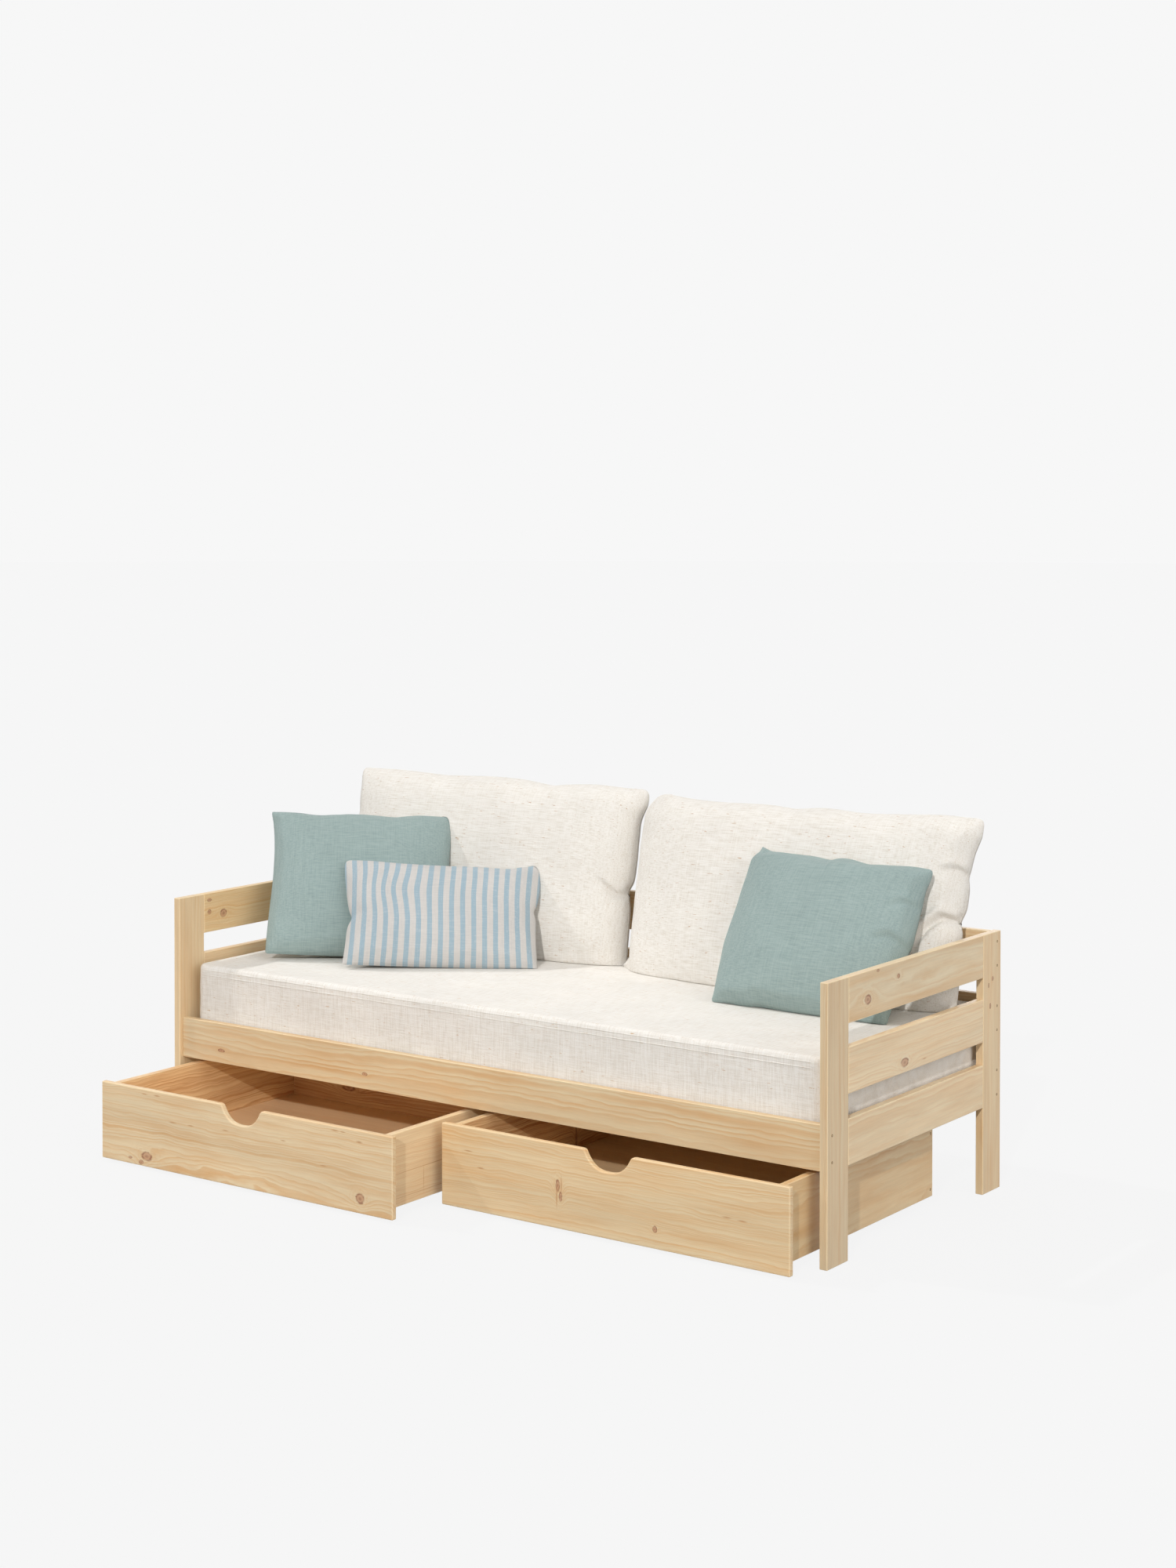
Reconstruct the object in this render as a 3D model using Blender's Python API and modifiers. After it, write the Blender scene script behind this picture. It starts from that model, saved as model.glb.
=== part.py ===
"""Storage daybed in pine: a frame with slats, two wheeled drawers, a mattress and five cushions.

Lengths are in metres and +Z is up. +X runs along the daybed to the right, and -Y is its front.
The origin lies on the floor, under the middle of the whole object with its drawers as they stand.
"""

import math

import bmesh
import bpy
from mathutils import Matrix, Vector
from mathutils.bvhtree import BVHTree

# Frame: two ends of posts and rails, joined by one front rail and three back rails
FRAME_LENGTH = 1.990
FRAME_DEPTH = 0.860
FRAME_HEIGHT = 0.6385
BOARD_THICKNESS = 0.020
BOARD_EDGE = 0.0018
POST_WIDTH = 0.0945
RAIL_HEIGHT = 0.105
LOW_RAIL_BOTTOM = 0.2145
MIDDLE_RAIL_BOTTOM = 0.3755
FRONT_RAIL_SETBACK = 0.011
BACK_RAIL_SETBACK = 0.010

# Slats, which lie on a ledge along the front and the back rail
LEDGE_WIDTH = 0.020
LEDGE_HEIGHT = 0.030
LEDGE_RISE = 0.005
SLAT_COUNT = 11
SLAT_WIDTH = 0.070
SLAT_THICKNESS = 0.018
SLAT_EDGE = 0.003
SLAT_PLAY = 0.002
FIRST_SLAT_INSET = 0.050

# Drawers, each a box on four fixed castors behind a wider front
LEFT_DRAWER_PULL = 0.3065
RIGHT_DRAWER_PULL = 0.125
DRAWER_END_GAP = 0.0081
DRAWER_MIDDLE_GAP = 0.0044
DRAWER_TOP_GAP = 0.0081
DRAWER_FLOOR_GAP = 0.0084
DRAWER_DEPTH = 0.714
FRONT_THICKNESS = 0.0155
FRONT_EDGE = 0.003
SIDE_INSET = 0.023
SIDE_THICKNESS = 0.018
SIDE_BOTTOM = 0.0267
SIDE_DROP = 0.003
BOTTOM_THICKNESS = 0.005
BOTTOM_TOP = 0.047
GROOVE_DEPTH = 0.006

# Finger scoop in the top edge of a drawer front
SCOOP_HALF_WIDTH = 0.064
SCOOP_DEPTH = 0.045
SCOOP_FILLET = 0.009
SCOOP_WIDTH_POWER = 2.6
SCOOP_DEPTH_POWER = 1.3
SCOOP_STEPS = 20
FILLET_STEPS = 4

# Castors under the drawer bottoms
WHEEL_RADIUS = 0.016
WHEEL_WIDTH = 0.012
WHEEL_SHOULDER = 0.002
HUB_RADIUS = 0.0065
HUB_RISE = 0.0007
RIM_INNER_RADIUS = 0.012
WEB_SINK = 0.002
AXLE_RADIUS = 0.0025
AXLE_PLAY = 0.0003
AXLE_END = 0.001
BRACKET_PLAY = 0.0005
BRACKET_THICKNESS = 0.0015
PLATE_WIDTH = 0.038
PLATE_LENGTH = 0.032
PLATE_HOLE_RADIUS = 0.002
PLATE_HOLE_INSET = 0.005
CHEEK_TOP_WIDTH = 0.024
CHEEK_END_RADIUS = 0.006
CASTOR_SIDE_INSET = 0.100
CASTOR_FRONT_INSET = 0.110
CASTOR_BACK_INSET = 0.090
WHEEL_SEGMENTS = 16
HOLE_SEGMENTS = 10
CHEEK_STEPS = 6

# Mattress, with the room left between it and the end boards and between it and the long rails
MATTRESS_END_ROOM = 0.035
MATTRESS_SIDE_ROOM = 0.0045
MATTRESS_THICKNESS = 0.186
MATTRESS_CROWN = 0.003
MATTRESS_EDGE = 0.028
MATTRESS_COLUMNS = 8
MATTRESS_ROWS = 4

# Cushions: width, height and thickness at the crown, then how far the sides are drawn in, how far
# the lower corners are, and how soon the faces fall to the seam. The two back cushions fill the
# room between the ends, with a little play each.
BACK_CUSHION_PLAY = 0.001
BACK_CUSHION_HEIGHT = 0.498
BACK_CUSHION_THICKNESS = 0.170
BACK_CUSHION_DRAW_SHARE = 0.022
BACK_CUSHION_FOOT_SHARE = 0.020
BACK_CUSHION_FULLNESS = 0.46
SQUARE_CUSHION_WIDTH = 0.500
SQUARE_CUSHION_HEIGHT = 0.447
SQUARE_CUSHION_THICKNESS = 0.130
SQUARE_CUSHION_DRAW_SHARE = 0.040
SQUARE_CUSHION_FOOT_SHARE = 0.0
SQUARE_CUSHION_FULLNESS = 0.62
LUMBAR_CUSHION_WIDTH = 0.538
LUMBAR_CUSHION_HEIGHT = 0.325
LUMBAR_CUSHION_THICKNESS = 0.110
LUMBAR_CUSHION_DRAW_SHARE = 0.030
LUMBAR_CUSHION_FOOT_SHARE = 0.0
LUMBAR_CUSHION_FULLNESS = 0.58
CROWN_POWER = 2.4
BACK_CUSHION_CELLS = (14, 8)
SQUARE_CUSHION_CELLS = (10, 8)
LUMBAR_CUSHION_CELLS = (12, 6)

# Where the cushions stand: along and across the mattress, in shares of its half length and half
# width, and then their turn, backward lean and tilt in degrees
LEFT_BACK_PLACE_SHARES = (-0.536, 0.30)
LEFT_BACK_TURN = (4.0, 16.0, 0.0)
RIGHT_BACK_PLACE_SHARES = (0.507, 0.30)
RIGHT_BACK_TURN = (0.0, 19.5, 0.0)
LEFT_SQUARE_PLACE_SHARES = (-0.772, -0.35)
LEFT_SQUARE_TURN = (41.0, 34.5, 2.8)
RIGHT_SQUARE_PLACE_SHARES = (0.697, -0.35)
RIGHT_SQUARE_TURN = (1.5, 36.0, 0.5)
LUMBAR_PLACE_SHARES = (-0.474, -0.60)
LUMBAR_TURN = (38.5, 37.5, 2.0)

# Fits: the gap that touching pieces keep, how far a cut runs past its piece, how often a halving
# search for a resting place repeats, and the distance below which points are one
CLEARANCE = 0.0003
OVERRUN = 0.002
HALVINGS = 22
WELD_DISTANCE = 0.000001

# How finely round edges are cut, and the angles below which two faces are one flat face (FLAT)
# or one round face (SHARP)
EDGE_SEGMENTS = 2
MATTRESS_EDGE_SEGMENTS = 4
FLAT_ANGLE = math.radians(0.5)
SHARP_ANGLE = math.radians(40)

# Places worked out from the sizes above
OVERALL_DEPTH = FRAME_DEPTH - FRONT_RAIL_SETBACK + LEFT_DRAWER_PULL
FRAME_BACK = OVERALL_DEPTH / 2
FRAME_FRONT = FRAME_BACK - FRAME_DEPTH
RAIL_FACE = FRAME_FRONT + FRONT_RAIL_SETBACK
FRONT_RAIL_INNER = RAIL_FACE + BOARD_THICKNESS
BACK_RAIL_INNER = FRAME_BACK - BACK_RAIL_SETBACK - BOARD_THICKNESS
INNER_HALF_LENGTH = FRAME_LENGTH / 2 - BOARD_THICKNESS
TOP_RAIL_BOTTOM = FRAME_HEIGHT - RAIL_HEIGHT
LEDGE_TOP = LOW_RAIL_BOTTOM + LEDGE_RISE + LEDGE_HEIGHT
SLAT_TOP = LEDGE_TOP + CLEARANCE + SLAT_THICKNESS
MATTRESS_LENGTH = 2 * (INNER_HALF_LENGTH - MATTRESS_END_ROOM)
MATTRESS_WIDTH = BACK_RAIL_INNER - FRONT_RAIL_INNER - 2 * MATTRESS_SIDE_ROOM
MATTRESS_BOTTOM = SLAT_TOP + CLEARANCE
MATTRESS_TOP = MATTRESS_BOTTOM + MATTRESS_THICKNESS
MATTRESS_CENTRE = (FRONT_RAIL_INNER + BACK_RAIL_INNER) / 2
BACK_CUSHION_WIDTH = INNER_HALF_LENGTH - BACK_CUSHION_PLAY
FRONT_WIDTH = INNER_HALF_LENGTH - DRAWER_END_GAP - DRAWER_MIDDLE_GAP / 2
FRONT_TOP = LOW_RAIL_BOTTOM - DRAWER_TOP_GAP
SIDE_TOP = FRONT_TOP - SIDE_DROP
BOX_HALF_WIDTH = FRONT_WIDTH / 2 - SIDE_INSET
BOX_INNER_HALF_WIDTH = BOX_HALF_WIDTH - SIDE_THICKNESS
BOX_FRONT = FRONT_THICKNESS + CLEARANCE
BACK_PANEL_FRONT = DRAWER_DEPTH - SIDE_THICKNESS
CHEEK_PLACE = WHEEL_WIDTH / 2 + HUB_RISE + BRACKET_PLAY + BRACKET_THICKNESS / 2
PLATE_TOP = BOTTOM_TOP - BOTTOM_THICKNESS - CLEARANCE

# Turns that stand a flat outline up: its own x and y become X and Z, or Y and Z
UPRIGHT_ALONG_X = Matrix.Rotation(math.radians(90), 4, "X")
UPRIGHT_ALONG_Y = Matrix.Rotation(math.radians(90), 4, "Z") @ UPRIGHT_ALONG_X
AXIS_ALONG_X = Matrix.Rotation(math.radians(90), 4, "Y")


def clear_scene():
    for obj in list(bpy.data.objects):
        bpy.data.objects.remove(obj)


def new_collection(name):
    collection = bpy.data.collections.new(name)
    bpy.context.scene.collection.children.link(collection)
    return collection


def new_material(name, color, roughness, metallic=0.0):
    material = bpy.data.materials.new(name)
    material.use_nodes = True
    shader = material.node_tree.nodes["Principled BSDF"]
    shader.inputs["Base Color"].default_value = (*color, 1.0)
    shader.inputs["Roughness"].default_value = roughness
    shader.inputs["Metallic"].default_value = metallic
    material.diffuse_color = (*color, 1.0)
    return material


def pine():
    return new_material("lacquered_pine", (0.68, 0.50, 0.29), 0.45)


def plywood():
    return new_material("thin_plywood", (0.74, 0.58, 0.38), 0.55)


def cream_linen():
    return new_material("cream_linen", (0.84, 0.79, 0.70), 0.95)


def teal_weave():
    return new_material("teal_weave", (0.33, 0.46, 0.43), 0.95)


def striped_cotton():
    return new_material("striped_cotton", (0.55, 0.66, 0.70), 0.95)


def zinc_steel():
    return new_material("zinc_steel", (0.62, 0.62, 0.64), 0.35, 1.0)


def dark_plastic():
    return new_material("dark_plastic", (0.03, 0.03, 0.032), 0.5)


def place(name, mesh, collection, location=(0, 0, 0), parent=None):
    obj = bpy.data.objects.new(name, mesh)
    collection.objects.link(obj)
    obj.location = location
    obj.parent = parent
    return obj


def mesh_from(shape, name):
    mesh = bpy.data.meshes.new(name)
    shape.to_mesh(mesh)
    shape.free()
    return mesh


def box_mesh(name, size):
    shape = bmesh.new()
    bmesh.ops.create_cube(shape, size=1)
    bmesh.ops.scale(shape, vec=size, verts=shape.verts)
    return mesh_from(shape, name)


def rod_mesh(name, radius, length, segments, turn=None):
    shape = bmesh.new()
    bmesh.ops.create_cone(
        shape, cap_ends=True, segments=segments, radius1=radius, radius2=radius, depth=length
    )
    if turn:
        bmesh.ops.transform(shape, matrix=turn, verts=shape.verts)
    return mesh_from(shape, name)


def evaluated_mesh(obj):
    bpy.context.view_layer.update()
    graph = bpy.context.evaluated_depsgraph_get()
    return bpy.data.meshes.new_from_object(obj.evaluated_get(graph))


def baked(obj, helpers=()):
    """The object's mesh with its modifiers applied. The object and its helpers are removed."""
    mesh = evaluated_mesh(obj)
    for used in (obj, *helpers):
        bpy.data.objects.remove(used)
    return mesh


def outline_mesh(name, points, thickness, turn):
    """A closed flat outline given a thickness about its own plane, then turned upright."""
    curve = bpy.data.curves.new(name, "CURVE")
    curve.dimensions = "2D"
    curve.fill_mode = "BOTH"
    curve.extrude = thickness / 2
    spline = curve.splines.new("POLY")
    spline.points.add(len(points) - 1)
    for corner, (x, y) in zip(spline.points, points):
        corner.co = (x, y, 0, 1)
    spline.use_cyclic_u = True
    mesh = baked(place(name, curve, bpy.context.scene.collection))
    shape = bmesh.new()
    shape.from_mesh(mesh)
    bmesh.ops.remove_doubles(shape, verts=shape.verts, dist=WELD_DISTANCE)
    bmesh.ops.dissolve_limit(
        shape, angle_limit=FLAT_ANGLE, verts=shape.verts, edges=shape.edges
    )
    bmesh.ops.transform(shape, matrix=turn, verts=shape.verts)
    bmesh.ops.recalc_face_normals(shape, faces=shape.faces)
    return mesh_from(shape, name)


def round_edges(obj, width, segments=EDGE_SEGMENTS):
    bevel = obj.modifiers.new("eased_edges", "BEVEL")
    bevel.width = width
    bevel.segments = segments
    bevel.limit_method = "ANGLE"
    bevel.angle_limit = SHARP_ANGLE
    return bevel


def combine(obj, helper, operation):
    boolean = obj.modifiers.new(operation.lower(), "BOOLEAN")
    boolean.operation = operation
    boolean.object = helper
    helper.hide_render = True
    helper.display_type = "WIRE"


def shade_round(mesh):
    mesh.shade_smooth()
    mesh.set_sharp_from_angle(angle=SHARP_ANGLE)


def board(name, low, high, edge, material, collection):
    """A board between two opposite corners, with eased edges."""
    low, high = Vector(low), Vector(high)
    mesh = box_mesh(name, high - low)
    mesh.materials.append(material)
    obj = place(name, mesh, collection, (low + high) / 2)
    round_edges(obj, edge)
    return obj


def post(name, side, front, wood, collection):
    """One post: side is -1 at the left end and 1 at the right, front its front face."""
    outer = side * FRAME_LENGTH / 2
    inner = side * INNER_HALF_LENGTH
    low = (min(outer, inner), front, 0)
    high = (max(outer, inner), front + POST_WIDTH, FRAME_HEIGHT)
    return board(name, low, high, BOARD_EDGE, wood, collection)


def end_rail(name, side, bottom, wood, collection):
    outer = side * FRAME_LENGTH / 2
    inner = side * INNER_HALF_LENGTH
    front = FRAME_FRONT + POST_WIDTH + CLEARANCE
    back = FRAME_BACK - POST_WIDTH - CLEARANCE
    low = (min(outer, inner), front, bottom)
    high = (max(outer, inner), back, bottom + RAIL_HEIGHT)
    return board(name, low, high, BOARD_EDGE, wood, collection)


def build_end(word, side, wood, collection):
    """One end of the frame: two posts with three rails between them, all in one plane."""
    return [
        post(f"front_{word}_post", side, FRAME_FRONT, wood, collection),
        post(f"back_{word}_post", side, FRAME_BACK - POST_WIDTH, wood, collection),
        end_rail(f"{word}_end_low_rail", side, LOW_RAIL_BOTTOM, wood, collection),
        end_rail(f"{word}_end_middle_rail", side, MIDDLE_RAIL_BOTTOM, wood, collection),
        end_rail(f"{word}_end_top_rail", side, TOP_RAIL_BOTTOM, wood, collection),
    ]


def long_rail(name, front, bottom, wood, collection):
    """A rail along the daybed, between the inner faces of the two ends."""
    half = INNER_HALF_LENGTH - CLEARANCE
    low = (-half, front, bottom)
    high = (half, front + BOARD_THICKNESS, bottom + RAIL_HEIGHT)
    return board(name, low, high, BOARD_EDGE, wood, collection)


def ledge(name, front, wood, collection):
    half = INNER_HALF_LENGTH - CLEARANCE
    low = (-half, front, LEDGE_TOP - LEDGE_HEIGHT)
    high = (half, front + LEDGE_WIDTH, LEDGE_TOP)
    return board(name, low, high, BOARD_EDGE, wood, collection)


def build_slats(wood, collection):
    first = -INNER_HALF_LENGTH + FIRST_SLAT_INSET
    last = -first - SLAT_WIDTH
    pitch = (last - first) / (SLAT_COUNT - 1)
    for index in range(SLAT_COUNT):
        left = first + index * pitch
        low = (left, FRONT_RAIL_INNER + SLAT_PLAY, SLAT_TOP - SLAT_THICKNESS)
        high = (left + SLAT_WIDTH, BACK_RAIL_INNER - SLAT_PLAY, SLAT_TOP)
        board(f"slat_{index + 1:02d}", low, high, SLAT_EDGE, wood, collection)


def build_frame(wood, collection):
    """Both ends, the long rails, the ledges and the slats. It gives back what cushions can meet."""
    boards = build_end("left", -1, wood, collection) + build_end("right", 1, wood, collection)
    back = BACK_RAIL_INNER
    boards += [
        long_rail("front_rail", RAIL_FACE, LOW_RAIL_BOTTOM, wood, collection),
        long_rail("back_low_rail", back, LOW_RAIL_BOTTOM, wood, collection),
        long_rail("back_middle_rail", back, MIDDLE_RAIL_BOTTOM, wood, collection),
        long_rail("back_top_rail", back, TOP_RAIL_BOTTOM, wood, collection),
    ]
    ledge("front_slat_ledge", FRONT_RAIL_INNER + CLEARANCE, wood, collection)
    ledge("back_slat_ledge", BACK_RAIL_INNER - CLEARANCE - LEDGE_WIDTH, wood, collection)
    build_slats(wood, collection)
    return boards


def scoop_flank(share):
    """Half of the scoop's curve, from its top corner (share 0) to its lowest point (share 1)."""
    angle = share * math.pi / 2
    x = SCOOP_HALF_WIDTH * math.cos(angle) ** (2 / SCOOP_WIDTH_POWER)
    drop = SCOOP_DEPTH * math.sin(angle) ** (2 / SCOOP_DEPTH_POWER)
    return x, -drop


def scoop_points():
    """The scoop from right to left, with the corners at the top edge rounded."""
    flank = [scoop_flank(step / SCOOP_STEPS) for step in range(SCOOP_STEPS + 1)]
    flank = [(x, y) for x, y in flank if y < -SCOOP_FILLET]
    start = (SCOOP_HALF_WIDTH + SCOOP_FILLET, 0)
    corner = (SCOOP_HALF_WIDTH, 0)
    end = flank[0]
    right = []
    for step in range(FILLET_STEPS):
        t = step / FILLET_STEPS
        weights = ((1 - t) ** 2, 2 * t * (1 - t), t**2)
        x = sum(weight * point[0] for weight, point in zip(weights, (start, corner, end)))
        y = sum(weight * point[1] for weight, point in zip(weights, (start, corner, end)))
        right.append((x, y))
    right += flank
    left = [(-x, y) for x, y in reversed(right[:-1])]
    return right + left


def drawer_front_mesh(wood, cutters):
    """The scooped front, with a groove in its back face for the bottom panel."""
    half = FRONT_WIDTH / 2
    points = [(-half, DRAWER_FLOOR_GAP), (half, DRAWER_FLOOR_GAP), (half, FRONT_TOP)]
    points += [(x, FRONT_TOP + y) for x, y in scoop_points()]
    points.append((-half, FRONT_TOP))
    mesh = outline_mesh("drawer_front", points, FRONT_THICKNESS, UPRIGHT_ALONG_X)
    mesh.transform(Matrix.Translation((0, FRONT_THICKNESS / 2, 0)))
    mesh.materials.append(wood)
    front = place("front_blank", mesh, cutters)
    round_edges(front, FRONT_EDGE)
    reach = BOX_INNER_HALF_WIDTH + GROOVE_DEPTH
    cutter = groove_cutter(
        (-reach, FRONT_THICKNESS - GROOVE_DEPTH), (reach, FRONT_THICKNESS + OVERRUN), cutters
    )
    combine(front, cutter, "DIFFERENCE")
    return baked(front, [cutter])


def groove_cutter(low, high, cutters):
    """A cutter for the bottom panel's groove, over a plan from low to high."""
    bottom = BOTTOM_TOP - BOTTOM_THICKNESS - CLEARANCE
    top = BOTTOM_TOP + CLEARANCE
    size = Vector((high[0] - low[0], high[1] - low[1], top - bottom))
    centre = ((low[0] + high[0]) / 2, (low[1] + high[1]) / 2, (bottom + top) / 2)
    return place("groove_cutter", box_mesh("groove_cutter", size), cutters, centre)


def grooved_panel_mesh(name, low, high, groove, wood, cutters):
    """A drawer panel between two corners, with the bottom panel's groove cut into it."""
    low, high = Vector(low), Vector(high)
    mesh = box_mesh(name, high - low)
    mesh.transform(Matrix.Translation((low + high) / 2))
    mesh.materials.append(wood)
    panel = place(name, mesh, cutters)
    round_edges(panel, BOARD_EDGE)
    cutter = groove_cutter(*groove, cutters)
    combine(panel, cutter, "DIFFERENCE")
    return baked(panel, [cutter])


def drawer_side_mesh(side, wood, cutters):
    inner = side * BOX_INNER_HALF_WIDTH
    outer = side * BOX_HALF_WIDTH
    deep = side * (BOX_INNER_HALF_WIDTH + GROOVE_DEPTH)
    past = side * (BOX_INNER_HALF_WIDTH - OVERRUN)
    groove = (
        (min(past, deep), BOX_FRONT - OVERRUN),
        (max(past, deep), DRAWER_DEPTH + OVERRUN),
    )
    low = (min(inner, outer), BOX_FRONT, SIDE_BOTTOM)
    high = (max(inner, outer), DRAWER_DEPTH, SIDE_TOP)
    return grooved_panel_mesh("drawer_side", low, high, groove, wood, cutters)


def drawer_back_mesh(wood, cutters):
    half = BOX_INNER_HALF_WIDTH - CLEARANCE
    low = (-half, BACK_PANEL_FRONT, SIDE_BOTTOM)
    high = (half, DRAWER_DEPTH, SIDE_TOP)
    groove = (
        (-half - OVERRUN, BACK_PANEL_FRONT - OVERRUN),
        (half + OVERRUN, BACK_PANEL_FRONT + GROOVE_DEPTH),
    )
    return grooved_panel_mesh("drawer_back", low, high, groove, wood, cutters)


def drawer_bottom_mesh(wood):
    half = BOX_INNER_HALF_WIDTH + GROOVE_DEPTH - CLEARANCE
    front = FRONT_THICKNESS - GROOVE_DEPTH + CLEARANCE
    back = BACK_PANEL_FRONT + GROOVE_DEPTH - CLEARANCE
    mesh = box_mesh("drawer_bottom", (2 * half, back - front, BOTTOM_THICKNESS))
    centre = (0, (front + back) / 2, BOTTOM_TOP - BOTTOM_THICKNESS / 2)
    mesh.transform(Matrix.Translation(centre))
    mesh.materials.append(wood)
    return mesh


def cheek_mesh(place_x):
    """One cheek of a castor bracket, narrowing to a round end about the axle."""
    top = PLATE_TOP - BRACKET_THICKNESS / 2 - WHEEL_RADIUS
    points = [(CHEEK_TOP_WIDTH / 2, top), (-CHEEK_TOP_WIDTH / 2, top)]
    for step in range(CHEEK_STEPS + 1):
        angle = math.pi + math.pi * step / CHEEK_STEPS
        points.append((CHEEK_END_RADIUS * math.cos(angle), CHEEK_END_RADIUS * math.sin(angle)))
    mesh = outline_mesh("cheek", points, BRACKET_THICKNESS, UPRIGHT_ALONG_Y)
    mesh.transform(Matrix.Translation((place_x, 0, 0)))
    return mesh


def plate_hole_places():
    x = PLATE_WIDTH / 2 - PLATE_HOLE_INSET
    y = PLATE_LENGTH / 2 - PLATE_HOLE_INSET
    return [(-x, -y), (x, -y), (-x, y), (x, y)]


def bracket_mesh(steel, cutters):
    """A castor bracket about the middle of its axle: a screwed plate with two cheeks."""
    mesh = box_mesh("bracket", (PLATE_WIDTH, PLATE_LENGTH, BRACKET_THICKNESS))
    height = PLATE_TOP - BRACKET_THICKNESS / 2 - WHEEL_RADIUS
    mesh.transform(Matrix.Translation((0, 0, height)))
    mesh.materials.append(steel)
    bracket = place("bracket_blank", mesh, cutters)
    helpers = []
    for side in (-1, 1):
        helpers.append(place("cheek", cheek_mesh(side * CHEEK_PLACE), cutters))
        combine(bracket, helpers[-1], "UNION")
    hole = rod_mesh(
        "axle_hole", AXLE_RADIUS + AXLE_PLAY, PLATE_WIDTH, HOLE_SEGMENTS, AXIS_ALONG_X
    )
    helpers.append(place("axle_hole", hole, cutters))
    combine(bracket, helpers[-1], "DIFFERENCE")
    for x, y in plate_hole_places():
        hole = rod_mesh("screw_hole", PLATE_HOLE_RADIUS, 2 * OVERRUN, HOLE_SEGMENTS)
        helpers.append(place("screw_hole", hole, cutters, (x, y, height)))
        combine(bracket, helpers[-1], "DIFFERENCE")
    return baked(bracket, helpers)


def wheel_mesh(plastic, cutters):
    """A castor wheel with its axle, turned about its own middle."""
    half = WHEEL_WIDTH / 2
    axle_half = CHEEK_PLACE + BRACKET_THICKNESS / 2 + AXLE_END
    upper = [
        (0, axle_half),
        (AXLE_RADIUS, axle_half),
        (AXLE_RADIUS, half + HUB_RISE),
        (HUB_RADIUS, half + HUB_RISE),
        (HUB_RADIUS, half - WEB_SINK),
        (RIM_INNER_RADIUS, half - WEB_SINK),
        (RIM_INNER_RADIUS, half),
        (WHEEL_RADIUS - WHEEL_SHOULDER, half),
        (WHEEL_RADIUS, half - WHEEL_SHOULDER),
    ]
    profile = upper + [(radius, -height) for radius, height in reversed(upper)]
    mesh = bpy.data.meshes.new("wheel_profile")
    edges = [(index, index + 1) for index in range(len(profile) - 1)]
    mesh.from_pydata([(radius, 0, height) for radius, height in profile], edges, [])
    wheel = place("wheel_profile", mesh, cutters)
    screw = wheel.modifiers.new("turned", "SCREW")
    screw.axis = "Z"
    screw.steps = WHEEL_SEGMENTS
    screw.render_steps = WHEEL_SEGMENTS
    screw.use_merge_vertices = True
    screw.merge_threshold = WELD_DISTANCE
    turned = baked(wheel)
    turned.transform(AXIS_ALONG_X)
    turned.materials.append(plastic)
    shade_round(turned)
    return turned


def drawer_meshes(materials, cutters):
    wood = materials["pine"]
    return {
        "front": drawer_front_mesh(wood, cutters),
        "left_side": drawer_side_mesh(-1, wood, cutters),
        "right_side": drawer_side_mesh(1, wood, cutters),
        "back": drawer_back_mesh(wood, cutters),
        "bottom": drawer_bottom_mesh(materials["plywood"]),
        "bracket": bracket_mesh(materials["steel"], cutters),
        "wheel": wheel_mesh(materials["plastic"], cutters),
    }


def castor_places():
    """The middle of each castor's axle, from the middle of the drawer's front face."""
    x = BOX_HALF_WIDTH - CASTOR_SIDE_INSET
    front = CASTOR_FRONT_INSET
    back = DRAWER_DEPTH - CASTOR_BACK_INSET
    return {
        "front_left": (-x, front, WHEEL_RADIUS),
        "front_right": (x, front, WHEEL_RADIUS),
        "back_left": (-x, back, WHEEL_RADIUS),
        "back_right": (x, back, WHEEL_RADIUS),
    }


def build_drawer(word, side, pull, meshes, collection):
    """One drawer under an empty on its slide, which stands pulled out from the front rail."""
    slide = place(f"{word}_drawer_slide", None, collection)
    slide.location = (side * (DRAWER_MIDDLE_GAP + FRONT_WIDTH) / 2, RAIL_FACE - pull, 0)
    for piece in ("front", "left_side", "right_side", "back", "bottom"):
        place(f"{word}_drawer_{piece}", meshes[piece], collection, parent=slide)
    for corner, location in castor_places().items():
        name = f"{word}_drawer_{corner}"
        place(f"{name}_bracket", meshes["bracket"], collection, location, slide)
        place(f"{name}_wheel", meshes["wheel"], collection, location, slide)


def build_mattress(cloth, collection):
    """A foam mattress with round edges and a slight crown."""
    shape = bmesh.new()
    bmesh.ops.create_grid(
        shape, x_segments=MATTRESS_COLUMNS, y_segments=MATTRESS_ROWS, size=1
    )
    for vertex in shape.verts:
        crown = (1 - vertex.co.x**2) * (1 - vertex.co.y**2) * MATTRESS_CROWN
        x = vertex.co.x * MATTRESS_LENGTH / 2
        y = vertex.co.y * MATTRESS_WIDTH / 2
        vertex.co = (x, y, MATTRESS_THICKNESS + crown)
    rim = [edge for edge in shape.edges if edge.is_boundary]
    sides = bmesh.ops.extrude_edge_only(shape, edges=rim)["geom"]
    for vertex in sides:
        if isinstance(vertex, bmesh.types.BMVert):
            vertex.co.z = 0
    bmesh.ops.contextual_create(shape, geom=[edge for edge in shape.edges if edge.is_boundary])
    bmesh.ops.recalc_face_normals(shape, faces=shape.faces)
    mesh = mesh_from(shape, "mattress")
    mesh.materials.append(cloth)
    mattress = place("mattress", mesh, collection, (0, MATTRESS_CENTRE, MATTRESS_BOTTOM))
    round_edges(mattress, MATTRESS_EDGE, MATTRESS_EDGE_SEGMENTS)
    shade_round(mesh)
    return mattress


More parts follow.
